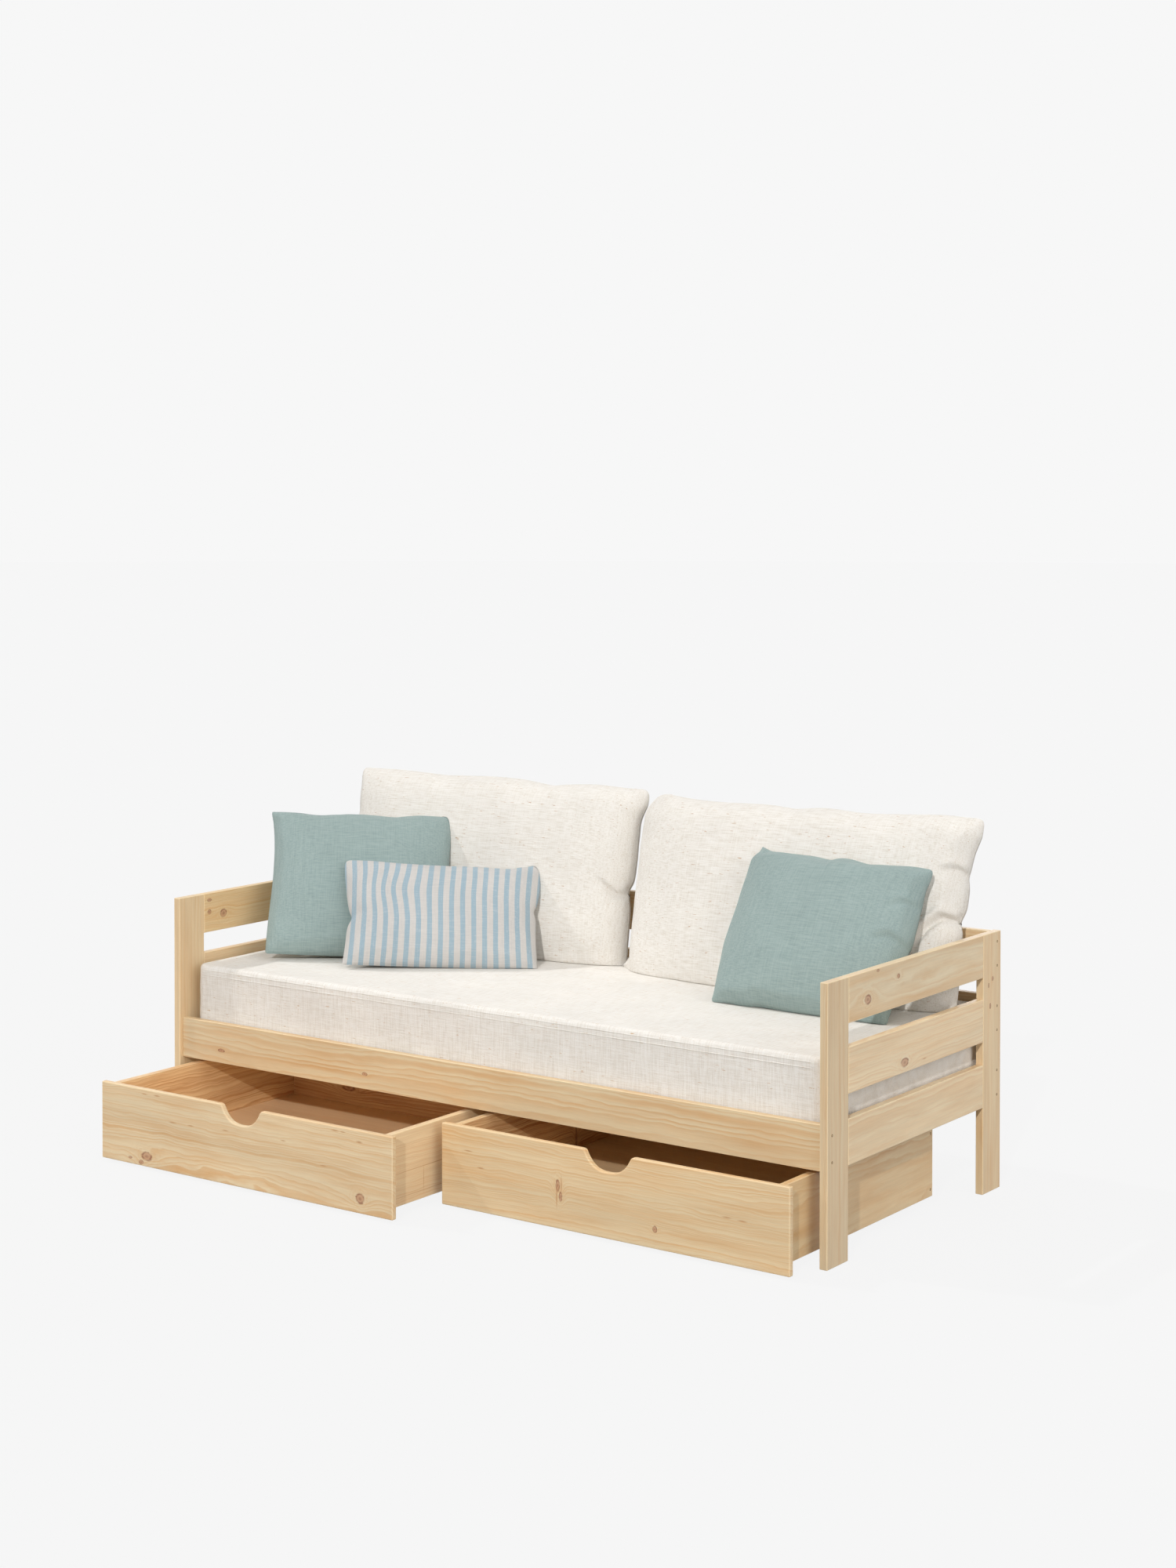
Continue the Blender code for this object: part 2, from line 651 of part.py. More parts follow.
def cushion_point(u, v, size, draw_share, foot_share, fullness):
    """A point on a cushion's front, for u and v from -1 to 1 between its seams. The lower seam
    lies straight on the mattress, and the other three are drawn in between the corners."""
    width, height, thickness = size
    upper = (1 + v) / 2
    foot = foot_share * (u * (1 - upper)) ** 2
    x = width / 2 * u * (1 - draw_share * (1 - v**2) - foot)
    z = height / 2 * v * (1 - draw_share * (1 - u**2) * upper)
    swell = (1 - abs(u) ** CROWN_POWER) * (1 - abs(v) ** CROWN_POWER)
    return x, -thickness / 2 * max(swell, 0) ** fullness, z


def cushion(name, size, cells, form, cloth, collection):
    """A filled cover: two crowned faces that meet in a seam, its sides drawn in between corners."""
    shape = bmesh.new()
    bmesh.ops.create_grid(shape, x_segments=cells[0], y_segments=cells[1], size=1)
    for vertex in shape.verts:
        u = math.sin(vertex.co.x * math.pi / 2)
        v = math.sin(vertex.co.y * math.pi / 2)
        vertex.co = cushion_point(u, v, size, *form)
    mesh = mesh_from(shape, name)
    mesh.materials.append(cloth)
    mesh.shade_smooth()
    obj = place(name, mesh, collection)
    mirror = obj.modifiers.new("back_half", "MIRROR")
    mirror.use_axis = (False, True, False)
    mirror.merge_threshold = WELD_DISTANCE
    soft = obj.modifiers.new("filled", "SUBSURF")
    soft.levels = 1
    soft.render_levels = 1
    return obj


def back_cushion(name, cloth, collection):
    size = (BACK_CUSHION_WIDTH, BACK_CUSHION_HEIGHT, BACK_CUSHION_THICKNESS)
    form = (BACK_CUSHION_DRAW_SHARE, BACK_CUSHION_FOOT_SHARE, BACK_CUSHION_FULLNESS)
    return cushion(name, size, BACK_CUSHION_CELLS, form, cloth, collection)


def square_cushion(name, cloth, collection):
    size = (SQUARE_CUSHION_WIDTH, SQUARE_CUSHION_HEIGHT, SQUARE_CUSHION_THICKNESS)
    form = (SQUARE_CUSHION_DRAW_SHARE, SQUARE_CUSHION_FOOT_SHARE, SQUARE_CUSHION_FULLNESS)
    return cushion(name, size, SQUARE_CUSHION_CELLS, form, cloth, collection)


def lumbar_cushion(name, cloth, collection):
    size = (LUMBAR_CUSHION_WIDTH, LUMBAR_CUSHION_HEIGHT, LUMBAR_CUSHION_THICKNESS)
    form = (LUMBAR_CUSHION_DRAW_SHARE, LUMBAR_CUSHION_FOOT_SHARE, LUMBAR_CUSHION_FULLNESS)
    return cushion(name, size, LUMBAR_CUSHION_CELLS, form, cloth, collection)


def surface(obj):
    """The object's points in world space and its faces, with its modifiers applied."""
    mesh = evaluated_mesh(obj)
    points = [obj.matrix_world @ vertex.co for vertex in mesh.vertices]
    faces = [tuple(face.vertices) for face in mesh.polygons]
    bpy.data.meshes.remove(mesh)
    return points, faces


def slide_until_close(obj, direction, reach, neighbours):
    """Moves the object along a direction until it all but touches a neighbour."""
    points, faces = surface(obj)
    trees = [BVHTree.FromPolygons(*surface(other)) for other in neighbours]
    clear, far = 0, reach
    for _ in range(HALVINGS):
        middle = (clear + far) / 2
        moved = BVHTree.FromPolygons([point + direction * middle for point in points], faces)
        if any(moved.overlap(tree) for tree in trees):
            far = middle
        else:
            clear = middle
    obj.location += direction * (clear - CLEARANCE)


def stand(obj, place_shares, turn, height, mattress, behind):
    """Stands a cushion on the mattress and leans it on what is behind it."""
    yaw, lean, tilt = (math.radians(angle) for angle in turn)
    along = place_shares[0] * MATTRESS_LENGTH / 2
    across = MATTRESS_CENTRE + place_shares[1] * MATTRESS_WIDTH / 2
    obj.location = (along, across, MATTRESS_TOP + height)
    spin = Matrix.Rotation(yaw, 3, "Z") @ Matrix.Rotation(-lean, 3, "X")
    obj.rotation_euler = (spin @ Matrix.Rotation(tilt, 3, "Y")).to_euler()
    down, back = Vector((0, 0, -1)), Vector((0, 1, 0))
    slide_until_close(obj, down, height, [mattress])
    slide_until_close(obj, back, MATTRESS_WIDTH / 2, behind)
    slide_until_close(obj, down, height, [mattress, *behind])


def build_cushions(materials, mattress, boards, collection):
    left_back = back_cushion("left_back_cushion", materials["linen"], collection)
    right_back = back_cushion("right_back_cushion", materials["linen"], collection)
    left_square = square_cushion("left_square_cushion", materials["teal"], collection)
    right_square = square_cushion("right_square_cushion", materials["teal"], collection)
    lumbar = lumbar_cushion("striped_lumbar_cushion", materials["stripes"], collection)
    tall, low = BACK_CUSHION_HEIGHT, LUMBAR_CUSHION_HEIGHT
    stand(left_back, LEFT_BACK_PLACE_SHARES, LEFT_BACK_TURN, tall, mattress, boards)
    behind = [*boards, left_back]
    stand(right_back, RIGHT_BACK_PLACE_SHARES, RIGHT_BACK_TURN, tall, mattress, behind)
    behind.append(right_back)
    square = SQUARE_CUSHION_HEIGHT
    stand(left_square, LEFT_SQUARE_PLACE_SHARES, LEFT_SQUARE_TURN, square, mattress, behind)
    stand(right_square, RIGHT_SQUARE_PLACE_SHARES, RIGHT_SQUARE_TURN, square, mattress, behind)
    behind.append(left_square)
    stand(lumbar, LUMBAR_PLACE_SHARES, LUMBAR_TURN, low, mattress, behind)


def main():
    clear_scene()
    daybed = new_collection("storage_daybed")
    cutters = new_collection("cutters")
    materials = {
        "pine": pine(),
        "plywood": plywood(),
        "linen": cream_linen(),
        "teal": teal_weave(),
        "stripes": striped_cotton(),
        "steel": zinc_steel(),
        "plastic": dark_plastic(),
    }
    boards = build_frame(materials["pine"], daybed)
    meshes = drawer_meshes(materials, cutters)
    build_drawer("left", -1, LEFT_DRAWER_PULL, meshes, daybed)
    build_drawer("right", 1, RIGHT_DRAWER_PULL, meshes, daybed)
    mattress = build_mattress(materials["linen"], daybed)
    build_cushions(materials, mattress, boards, daybed)


main()
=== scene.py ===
"""The storage daybed dressed for rendering: pine boards, cloth cushions, screws, light and camera.

Lengths are in metres. +X runs along the daybed to the right, -Y is its front and +Z is up.
"""

import math

import bmesh
import bpy
from mathutils import Matrix, Vector, noise
from mathutils.bvhtree import BVHTree


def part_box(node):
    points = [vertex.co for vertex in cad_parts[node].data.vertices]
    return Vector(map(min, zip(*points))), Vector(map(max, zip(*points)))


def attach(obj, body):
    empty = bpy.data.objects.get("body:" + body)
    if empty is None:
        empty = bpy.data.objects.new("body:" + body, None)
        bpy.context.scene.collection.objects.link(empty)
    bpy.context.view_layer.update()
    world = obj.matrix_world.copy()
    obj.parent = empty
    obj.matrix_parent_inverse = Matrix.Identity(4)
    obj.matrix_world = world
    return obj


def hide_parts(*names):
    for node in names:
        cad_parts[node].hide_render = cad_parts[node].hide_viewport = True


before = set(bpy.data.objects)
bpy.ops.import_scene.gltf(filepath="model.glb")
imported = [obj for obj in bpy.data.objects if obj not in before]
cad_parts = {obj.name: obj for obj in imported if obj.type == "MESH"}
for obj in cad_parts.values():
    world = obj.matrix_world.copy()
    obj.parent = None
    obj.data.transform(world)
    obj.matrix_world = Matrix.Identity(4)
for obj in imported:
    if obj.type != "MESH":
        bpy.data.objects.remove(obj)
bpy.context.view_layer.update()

MM = 0.001


def srgb(red, green, blue):
    """A display colour from 0 to 255 as linear light, with alpha."""
    linear = []
    for value in (red, green, blue):
        share = value / 255
        linear.append(share / 12.92 if share <= 0.04045 else ((share + 0.055) / 1.055) ** 2.4)
    return (*linear, 1.0)


# ---- camera, floor and light

LENS = 58.64
CAMERA_PLACE = (3.7779, -5.19735, 1.7135)
CAMERA_TURN = (math.radians(90) - 0.0221, 0, 0.6427)
CAMERA_SHIFT = (0.055, -0.1483)
BACKGROUND = srgb(247, 247, 247)
FLOOR_COLOR = srgb(149, 149, 149)
FLOOR_GLOW = 1.075
FLOOR_GLOW_SHARE = 0.88
FLOOR_RADIUS = 60.0
LEVEL_FILL, OVERHEAD_FILL = 0.10, 0.62
SUNS = {
    "left_sun": dict(towards=(-0.95, -0.22, 1.0), power=0.40 * math.pi, angle=1.4),
    "front_sun": dict(towards=(0.65, -1.87, 1.0), power=0.50 * math.pi, angle=1.4),
    "right_fill": dict(towards=(1.0, -0.25, 0.3), power=0.35 * math.pi, angle=50.0),
    "back_fill": dict(towards=(-0.2, 1.0, 0.12), power=0.28 * math.pi, angle=50.0),
}


def add_camera():
    data = bpy.data.cameras.new("photo_camera")
    data.lens = LENS
    data.sensor_width = 36
    data.shift_x, data.shift_y = CAMERA_SHIFT
    camera = add_object("photo_camera", data)
    camera.location = CAMERA_PLACE
    camera.rotation_euler = CAMERA_TURN
    bpy.context.scene.camera = camera


def add_sun(name, towards, power, angle):
    data = bpy.data.lights.new(name, "SUN")
    data.energy = power
    data.angle = math.radians(angle)
    sun = add_object(name, data)
    sun.rotation_euler = Vector(towards).to_track_quat("Z", "Y").to_euler()


def add_world():
    """An even fill that grows towards the zenith, behind which the background shows."""
    world = bpy.data.worlds.new("studio")
    bpy.context.scene.world = world
    world.use_nodes = True
    graph = Graph(world.node_tree)
    graph.clear()
    seen = graph.add("ShaderNodeBackground", {"Color": BACKGROUND, "Strength": 1.0})
    height = graph.split(graph.add("ShaderNodeTexCoord").outputs["Generated"])[2]
    strength = graph.span(height, 0.0, 1.0, LEVEL_FILL, LEVEL_FILL + OVERHEAD_FILL)
    fill = graph.add("ShaderNodeBackground", {"Color": (1, 1, 1, 1), "Strength": strength})
    shaders = {0: graph.seen_directly(), 1: fill.outputs[0], 2: seen.outputs[0]}
    mix = graph.add("ShaderNodeMixShader", shaders)
    graph.add("ShaderNodeOutputWorld", {"Surface": mix.outputs[0]})


def add_floor():
    """A matte disc that lights the object as grey and is seen nearly white, with its shadow."""
    shape = bmesh.new()
    bmesh.ops.create_circle(shape, cap_ends=True, segments=96, radius=FLOOR_RADIUS)
    floor = add_mesh("floor", shape)
    material, graph, _ = new_surface("studio_floor")
    graph.clear()
    matte = graph.add("ShaderNodeBsdfDiffuse", {"Color": FLOOR_COLOR})
    glow = graph.add("ShaderNodeEmission", {"Color": BACKGROUND, "Strength": FLOOR_GLOW})
    share = graph.times(graph.seen_directly(), FLOOR_GLOW_SHARE)
    shaders = {0: share, 1: matte.outputs[0], 2: glow.outputs[0]}
    mix = graph.add("ShaderNodeMixShader", shaders)
    graph.add("ShaderNodeOutputMaterial", {"Surface": mix.outputs[0]})
    floor.data.materials.append(material)


# ---- building helpers


class Graph:
    """Short calls that add nodes to a tree. A value is a number, a colour or another socket."""

    def __init__(self, tree):
        self.tree = tree

    def clear(self):
        self.tree.nodes.clear()

    def feed(self, socket, value):
        if isinstance(value, bpy.types.NodeSocket):
            self.tree.links.new(value, socket)
        else:
            socket.default_value = value

    def add(self, kind, inputs=None, **settings):
        node = self.tree.nodes.new(kind)
        for name, value in settings.items():
            setattr(node, name, value)
        for name, value in (inputs or {}).items():
            self.feed(node.inputs[name], value)
        return node

    def math(self, operation, *values, clamp=False):
        node = self.add("ShaderNodeMath", operation=operation, use_clamp=clamp)
        for socket, value in zip(node.inputs, values):
            self.feed(socket, value)
        return node.outputs[0]

    def chain(self, operation, values):
        """The operation over all the values, from left to right."""
        result = values[0]
        for value in values[1:]:
            result = self.math(operation, result, value)
        return result

    def plus(self, *values):
        return self.chain("ADD", values)

    def times(self, *values):
        return self.chain("MULTIPLY", values)

    def minus(self, first, second):
        return self.math("SUBTRACT", first, second)

    def over(self, first, second):
        return self.math("DIVIDE", first, second)

    def bell(self, value):
        """1 at 0, falling off smoothly to both sides."""
        return self.math("EXPONENT", self.times(value, value, -1.0))

    def vector(self, operation, *values):
        node = self.add("ShaderNodeVectorMath", operation=operation)
        for socket, value in zip(node.inputs, values):
            self.feed(socket, value)
        return node.outputs["Value" if operation in ("LENGTH", "DOT_PRODUCT") else "Vector"]

    def split(self, point):
        return self.add("ShaderNodeSeparateXYZ", {0: point}).outputs

    def join(self, x, y, z):
        return self.add("ShaderNodeCombineXYZ", {0: x, 1: y, 2: z}).outputs[0]

    def object_point(self):
        return self.add("ShaderNodeTexCoord").outputs["Object"]

    def noise(self, point, scale, detail=2.0, roughness=0.5):
        """Smooth noise from 0 to 1, with its own scale along each axis."""
        inputs = {"Scale": 1.0, "Detail": detail, "Roughness": roughness}
        inputs["Vector"] = self.vector("MULTIPLY", point, scale)
        return self.add("ShaderNodeTexNoise", inputs).outputs[0]

    def span(self, value, low, high, to_low=0.0, to_high=1.0, smooth=False):
        """The value, carried from low..high to to_low..to_high and held there."""
        names = ("Value", "From Min", "From Max", "To Min", "To Max")
        inputs = dict(zip(names, (value, low, high, to_low, to_high)))
        kind = "SMOOTHSTEP" if smooth else "LINEAR"
        return self.add("ShaderNodeMapRange", inputs, interpolation_type=kind).outputs[0]

    def mix(self, share, first, second, blend="MIX"):
        node = self.add("ShaderNodeMix", data_type="RGBA", blend_type=blend)
        for index, value in ((0, share), (6, first), (7, second)):
            self.feed(node.inputs[index], value)
        return node.outputs[2]

    def shaded(self, color, shade):
        """The colour times a number."""
        return self.mix(1.0, color, self.join(shade, shade, shade), "MULTIPLY")

    def ramp(self, value, stops):
        """A grey ramp over stops of (position, grey)."""
        node = self.add("ShaderNodeValToRGB", {0: value})
        elements = node.color_ramp.elements
        while len(elements) < len(stops):
            elements.new(0.5)
        for element, (position, grey) in zip(elements, stops):
            element.position = position
            element.color = (grey, grey, grey, 1)
        return node.outputs[0]

    def bump(self, height, strength, distance):
        inputs = {"Height": height, "Strength": strength, "Distance": distance}
        return self.add("ShaderNodeBump", inputs).outputs[0]

    def seen_directly(self):
        """1 for rays that show the background, which are camera, glossy and transmission rays."""
        path = self.add("ShaderNodeLightPath").outputs
        names = ("Is Camera Ray", "Is Glossy Ray", "Is Transmission Ray")
        return self.chain("MAXIMUM", [path[name] for name in names])


def new_group(name, inputs, outputs):
    """A node group with sockets named by kind, and its graph, inputs and outputs."""
    tree = bpy.data.node_groups.new(name, "ShaderNodeTree")
    for way, sockets in (("INPUT", inputs), ("OUTPUT", outputs)):
        for kind, names in sockets.items():
            for socket in names:
                tree.interface.new_socket(name=socket, in_out=way, socket_type=kind)
    graph = Graph(tree)
    return graph, graph.add("NodeGroupInput").outputs, graph.add("NodeGroupOutput").inputs


def new_surface(name):
    """A material, its graph and its shader."""
    material = bpy.data.materials.new(name)
    material.use_nodes = True
    tree = material.node_tree
    return material, Graph(tree), tree.nodes["Principled BSDF"]


def finish_surface(graph, shader, color, roughness, bump, even):
    """Feeds the shader. Bump is (height, strength, distance), even what is the same all over."""
    graph.feed(shader.inputs["Base Color"], color)
    graph.feed(shader.inputs["Roughness"], roughness)
    graph.feed(shader.inputs["Normal"], graph.bump(*bump))
    for name, value in even.items():
        shader.inputs[name].default_value = value


def add_object(name, data):
    obj = bpy.data.objects.new(name, data)
    bpy.context.scene.collection.objects.link(obj)
    return obj


def add_mesh(name, shape, material=None):
    mesh = bpy.data.meshes.new(name)
    shape.to_mesh(mesh)
    shape.free()
    if material:
        mesh.materials.append(material)
    return add_object(name, mesh)


# ---- pine

FLOAT, VECTOR, COLOR = "NodeSocketFloat", "NodeSocketVector", "NodeSocketColor"
KNOT_BEND = 0.36
KNOT_EYE = (0.30, 0.55, 0.0)
KNOT_LIFT = 1.7
KNOT_HALO_LINES = 7.2
KNOT_HEART = srgb(187, 137, 103)
KNOT_RIM = srgb(132, 76, 46)
MARK_TONE = srgb(186, 132, 84)
WORN_AND_HIGHLIGHT_TONE = srgb(246, 226, 186)
PALE_EDGE_FROM, PALE_EDGE_TO = -0.0028, -0.0004
SEED_SHIFTS = (13.7, 5.13, 9.31)
LATE_WOOD = ((0.0, 0.0), (0.2, 0.1), (0.55, 0.5), (0.8, 1.0), (0.92, 0.7), (1.0, 0.0))

# Pale and late wood of the outer boards and of the drawers' insides, as display colours. The
# insides' pair is darker and oranger than the outer one: painted shade and painted bounce light.
FACE = ((227, 204, 166), (210, 160, 102))
DRAWER_INSIDE_SHADE_TONES = ((238, 200, 148), (190, 130, 80))
FACE_FIGURE = 0.7


def build_knot_group():
    """Bends a board's point round a knot, and gives the knot's core, rim and halo."""
    graph, given, result = new_group(
        "knot",
        {VECTOR: ("Point", "Bent", "Place", "Size"), FLOAT: ("Push",)},
        {VECTOR: ("Bent",), FLOAT: ("Core", "Rim", "Halo")},
    )
    point, push = given["Point"], given["Push"]
    half_width = graph.split(given["Size"])[1]
    offset = graph.vector("SUBTRACT", point, given["Place"])
    across = graph.split(offset)[1]
    shares = graph.split(graph.vector("DIVIDE", offset, given["Size"]))
    flat = graph.join(shares[0], shares[1], 0.0)
    distance = graph.vector("LENGTH", flat)

    reach = graph.plus(graph.times(across, across), graph.times(half_width, half_width))
    side = graph.over(across, graph.math("SQRT", reach))
    aside = graph.times(half_width, push, side, graph.bell(graph.times(distance, KNOT_BEND)))
    eye = graph.vector("LENGTH", graph.vector("MULTIPLY", flat, KNOT_EYE))
    lift = graph.times(graph.bell(eye), half_width, push, KNOT_LIFT)
    shift = graph.join(lift, graph.times(aside, -1.0), 0.0)
    graph.feed(result["Bent"], graph.vector("ADD", given["Bent"], shift))

    wobble = graph.noise(point, (70, 160, 160), 2.0)
    near = graph.minus(graph.plus(distance, graph.times(wobble, 0.5)), 0.25)
    patchy = graph.span(graph.noise(point, (70, 130, 130), 1.0), 0.36, 0.6, 0.25, 1.0)
    rim = graph.minus(graph.span(near, 1.35, 1.05), graph.span(near, 0.95, 0.65))
    heart = graph.span(near, 0.65, 0.1, 0.0, 0.6, smooth=True)
    graph.feed(result["Core"], graph.span(near, 1.25, 0.8, smooth=True))
    graph.feed(result["Rim"], graph.math("MAXIMUM", graph.times(rim, patchy), heart))

    loose = graph.times(graph.span(wobble, 0.2, 0.8, 0.8, 1.2), distance)
    lines = graph.span(graph.math("SINE", graph.times(loose, KNOT_HALO_LINES)), 0.1, 1.0)
    halo = graph.times(graph.span(loose, 4.4, 1.8), graph.span(loose, 1.2, 1.5), lines, patchy)
    graph.feed(result["Halo"], graph.math("MULTIPLY", halo, push, clamp=True))
    return graph.tree


def build_pine_group():
    """The figure of sawn pine. Point is in metres from the board's middle: x along the grain,
    y across its face and z through it. Bent is the same point, pushed aside by knots."""
    graph, given, result = new_group(
        "pine_figure",
        {
            VECTOR: ("Point", "Bent", "Half"),
            FLOAT: ("Seed", "Pith Across", "Pith Depth", "Ring", "Wave", "Figure"),
            COLOR: ("Pale", "Late"),
        },
        {COLOR: ("Color",), FLOAT: ("Height", "Gloss")},
    )
    seed, figure = given["Seed"], given["Figure"]
    shift = graph.join(*(graph.times(seed, share) for share in SEED_SHIFTS))
    point = graph.vector("ADD", given["Point"], shift)

    # Growth rings round the pith, wavy along the board, some wider and some stronger
    slow = graph.minus(graph.noise(point, (1.7, 6, 6), 1.0), 0.5)
    quick = graph.minus(graph.noise(point, (12, 30, 30), 2.0), 0.5)
    wave = graph.times(graph.plus(slow, graph.times(quick, 0.34)), given["Wave"])
    place = graph.split(given["Bent"])
    lift = graph.minus(place[0], graph.split(given["Point"])[0])
    across = graph.minus(place[1], given["Pith Across"])
    deep = graph.minus(place[2], given["Pith Depth"])
    radius = graph.vector("LENGTH", graph.join(across, deep, 0.0))
    rings = graph.over(graph.plus(radius, wave, lift), given["Ring"])
    inputs = {"W": graph.plus(rings, seed), "Scale": 0.55, "Detail": 1.0}
    years = graph.add("ShaderNodeTexNoise", inputs, noise_dimensions="1D").outputs[0]
    rings = graph.plus(rings, graph.times(years, 2.2), seed)
    late = graph.ramp(graph.math("FRACT", rings), LATE_WOOD)
    inputs = {"W": graph.plus(graph.math("FLOOR", rings), seed)}
    year = graph.add("ShaderNodeTexWhiteNoise", inputs, noise_dimensions="1D").outputs[0]
    strong = graph.span(year, 0.0, 1.0, 0.45, 1.0)
    fade = graph.span(graph.noise(point, (3.2, 15, 15), 2.0), 0.36, 0.64, 0.5, 1.0)
    amount = graph.math("MULTIPLY", graph.times(late, strong, fade), figure, clamp=True)

    # Colour: rings, a drifting tint, fibres, and pale edges that are partly wear and partly a
    # painted highlight
    color = graph.mix(amount, given["Pale"], given["Late"])
    tint = graph.span(graph.noise(point, (4.5, 42, 42), 3.0), 0.42, 0.72, 0.0, 0.45)
    color = graph.mix(graph.times(tint, figure), color, given["Late"])
    broad = graph.span(graph.noise(point, (1.3, 11, 11), 3.0), 0.3, 0.7, 0.93, 1.06)
    fibre = graph.noise(point, (38, 900, 900), 3.0, 0.6)
    streaks = graph.span(graph.noise(point, (9, 260, 260), 2.0), 0.3, 0.7, 0.965, 1.03)
    tone = graph.times(broad, graph.span(fibre, 0.25, 0.75, 0.955, 1.035), streaks)
    color = graph.shaded(color, tone)
    # Every edge of the board is made paler: partly wear, partly a painted highlight of lit edges.
    inset = graph.vector("SUBTRACT", graph.vector("ABSOLUTE", given["Point"]), given["Half"])
    pale_edge_sides = [graph.span(side, PALE_EDGE_FROM, PALE_EDGE_TO, smooth=True) for side in graph.split(inset)[:3]]
    edges = [graph.times(pale_edge_sides[a], pale_edge_sides[b]) for a, b in ((0, 1), (1, 2), (0, 2))]
    edge = graph.chain("MAXIMUM", edges)
    graph.feed(result["Color"], graph.mix(edge, color, graph.mix(0.55, color, WORN_AND_HIGHLIGHT_TONE)))
    graph.feed(result["Height"], graph.plus(graph.times(fibre, 0.5), graph.times(amount, -0.5)))
    gloss = graph.span(fibre, 0.2, 0.8, 0.40, 0.54)
    graph.feed(result["Gloss"], graph.minus(gloss, graph.times(amount, 0.06)))
    return graph.tree


KNOT_GROUP = build_knot_group()
PINE_GROUP = build_pine_group()


def board_axes(node):
    """The node's axes (along the grain, across its face, through it), middle and half size."""
    low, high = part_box(node)
    size = high - low
    order = sorted(range(3), key=lambda axis: -size[axis])
    middle = (low + high) / 2
    return order, [middle[axis] for axis in order], [size[axis] / 2 for axis in order]


def in_metres(along, across, length, width):
    return (along * MM, across * MM, 0), (length * MM, width * MM, 1)


def wood(node, seed, pith=(-0.16, -0.05), ring=0.0085, wave=0.03, figure=0.75, tones=FACE,
         knots=(), marks=(), outside=0):
    """A pine surface for one board. Pith is (across, through) where the rings' middle lies, ring
    their width, wave how far they wander and figure how strongly they show. A knot is (along,
    across, half length, half width, push) from the middle of the board's face, and a mark is a
    small brown streak without a push, both in millimetres. Outside is the sign, along the
    thickness, of a face that is as pale as the other boards. The other face keeps the given
    tones, which for a drawer's inside are darker and oranger: painted shade and bounce light."""
    order, middle, half = board_axes(node)
    pale, late = (srgb(*tone) for tone in tones)
    halo_tone = late
    material, graph, shader = new_surface(f"pine_{node}")
    place = graph.split(graph.object_point())
    point = graph.vector("SUBTRACT", graph.join(*(place[axis] for axis in order)), middle)
    bent, rounds = point, []
    for *area, push in knots:
        spot, size = in_metres(*area)
        inputs = {"Point": point, "Bent": bent, "Place": spot, "Size": size, "Push": push}
        knot = graph.add("ShaderNodeGroup", inputs, node_tree=KNOT_GROUP)
        bent = knot.outputs["Bent"]
        rounds.append([knot.outputs[name] for name in ("Core", "Rim", "Halo")])
    # A drawer board's inner face keeps its darker, oranger tones (painted shade and painted bounce
    # light), and its outer face turns to FACE.
    if outside:
        depth, turn = graph.split(point)[2], outside * half[2] / 2
        outer = graph.span(depth, -turn, turn)
        pale, late = (
            graph.mix(outer, tone, srgb(*face)) for tone, face in zip((pale, late), FACE)
        )
        figure = graph.span(depth, -turn, turn, figure, FACE_FIGURE)
    values = {
        "Point": point, "Bent": bent, "Half": half, "Seed": seed, "Pith Across": pith[0],
        "Pith Depth": pith[1], "Ring": ring, "Wave": wave, "Figure": figure,
        "Pale": pale, "Late": late,
    }
    board = graph.add("ShaderNodeGroup", values, node_tree=PINE_GROUP)
    color = board.outputs["Color"]
    for core, rim, halo in rounds:
        color = graph.mix(graph.times(halo, 0.3), color, halo_tone)
        color = graph.mix(graph.times(core, 0.7), color, KNOT_HEART)
        color = graph.mix(graph.math("MULTIPLY", rim, 0.8, clamp=True), color, KNOT_RIM)
    for area in marks:
        spot, size = in_metres(*area)
        offset = graph.vector("SUBTRACT", point, spot)
        shares = graph.split(graph.vector("DIVIDE", offset, size))
        near = graph.vector("LENGTH", graph.join(shares[0], shares[1], 0.0))
        streak = graph.span(near, 1.5, 0.2, 0.0, 0.75, smooth=True)
        color = graph.mix(streak, color, MARK_TONE)
    finish_surface(
        graph, shader, color, board.outputs["Gloss"], (board.outputs["Height"], 0.35, 0.0004),
        {"Coat Weight": 0.12, "Coat Roughness": 0.3},
    )
    return material


def dress(node, material):
    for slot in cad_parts[node].material_slots:
        slot.material = material


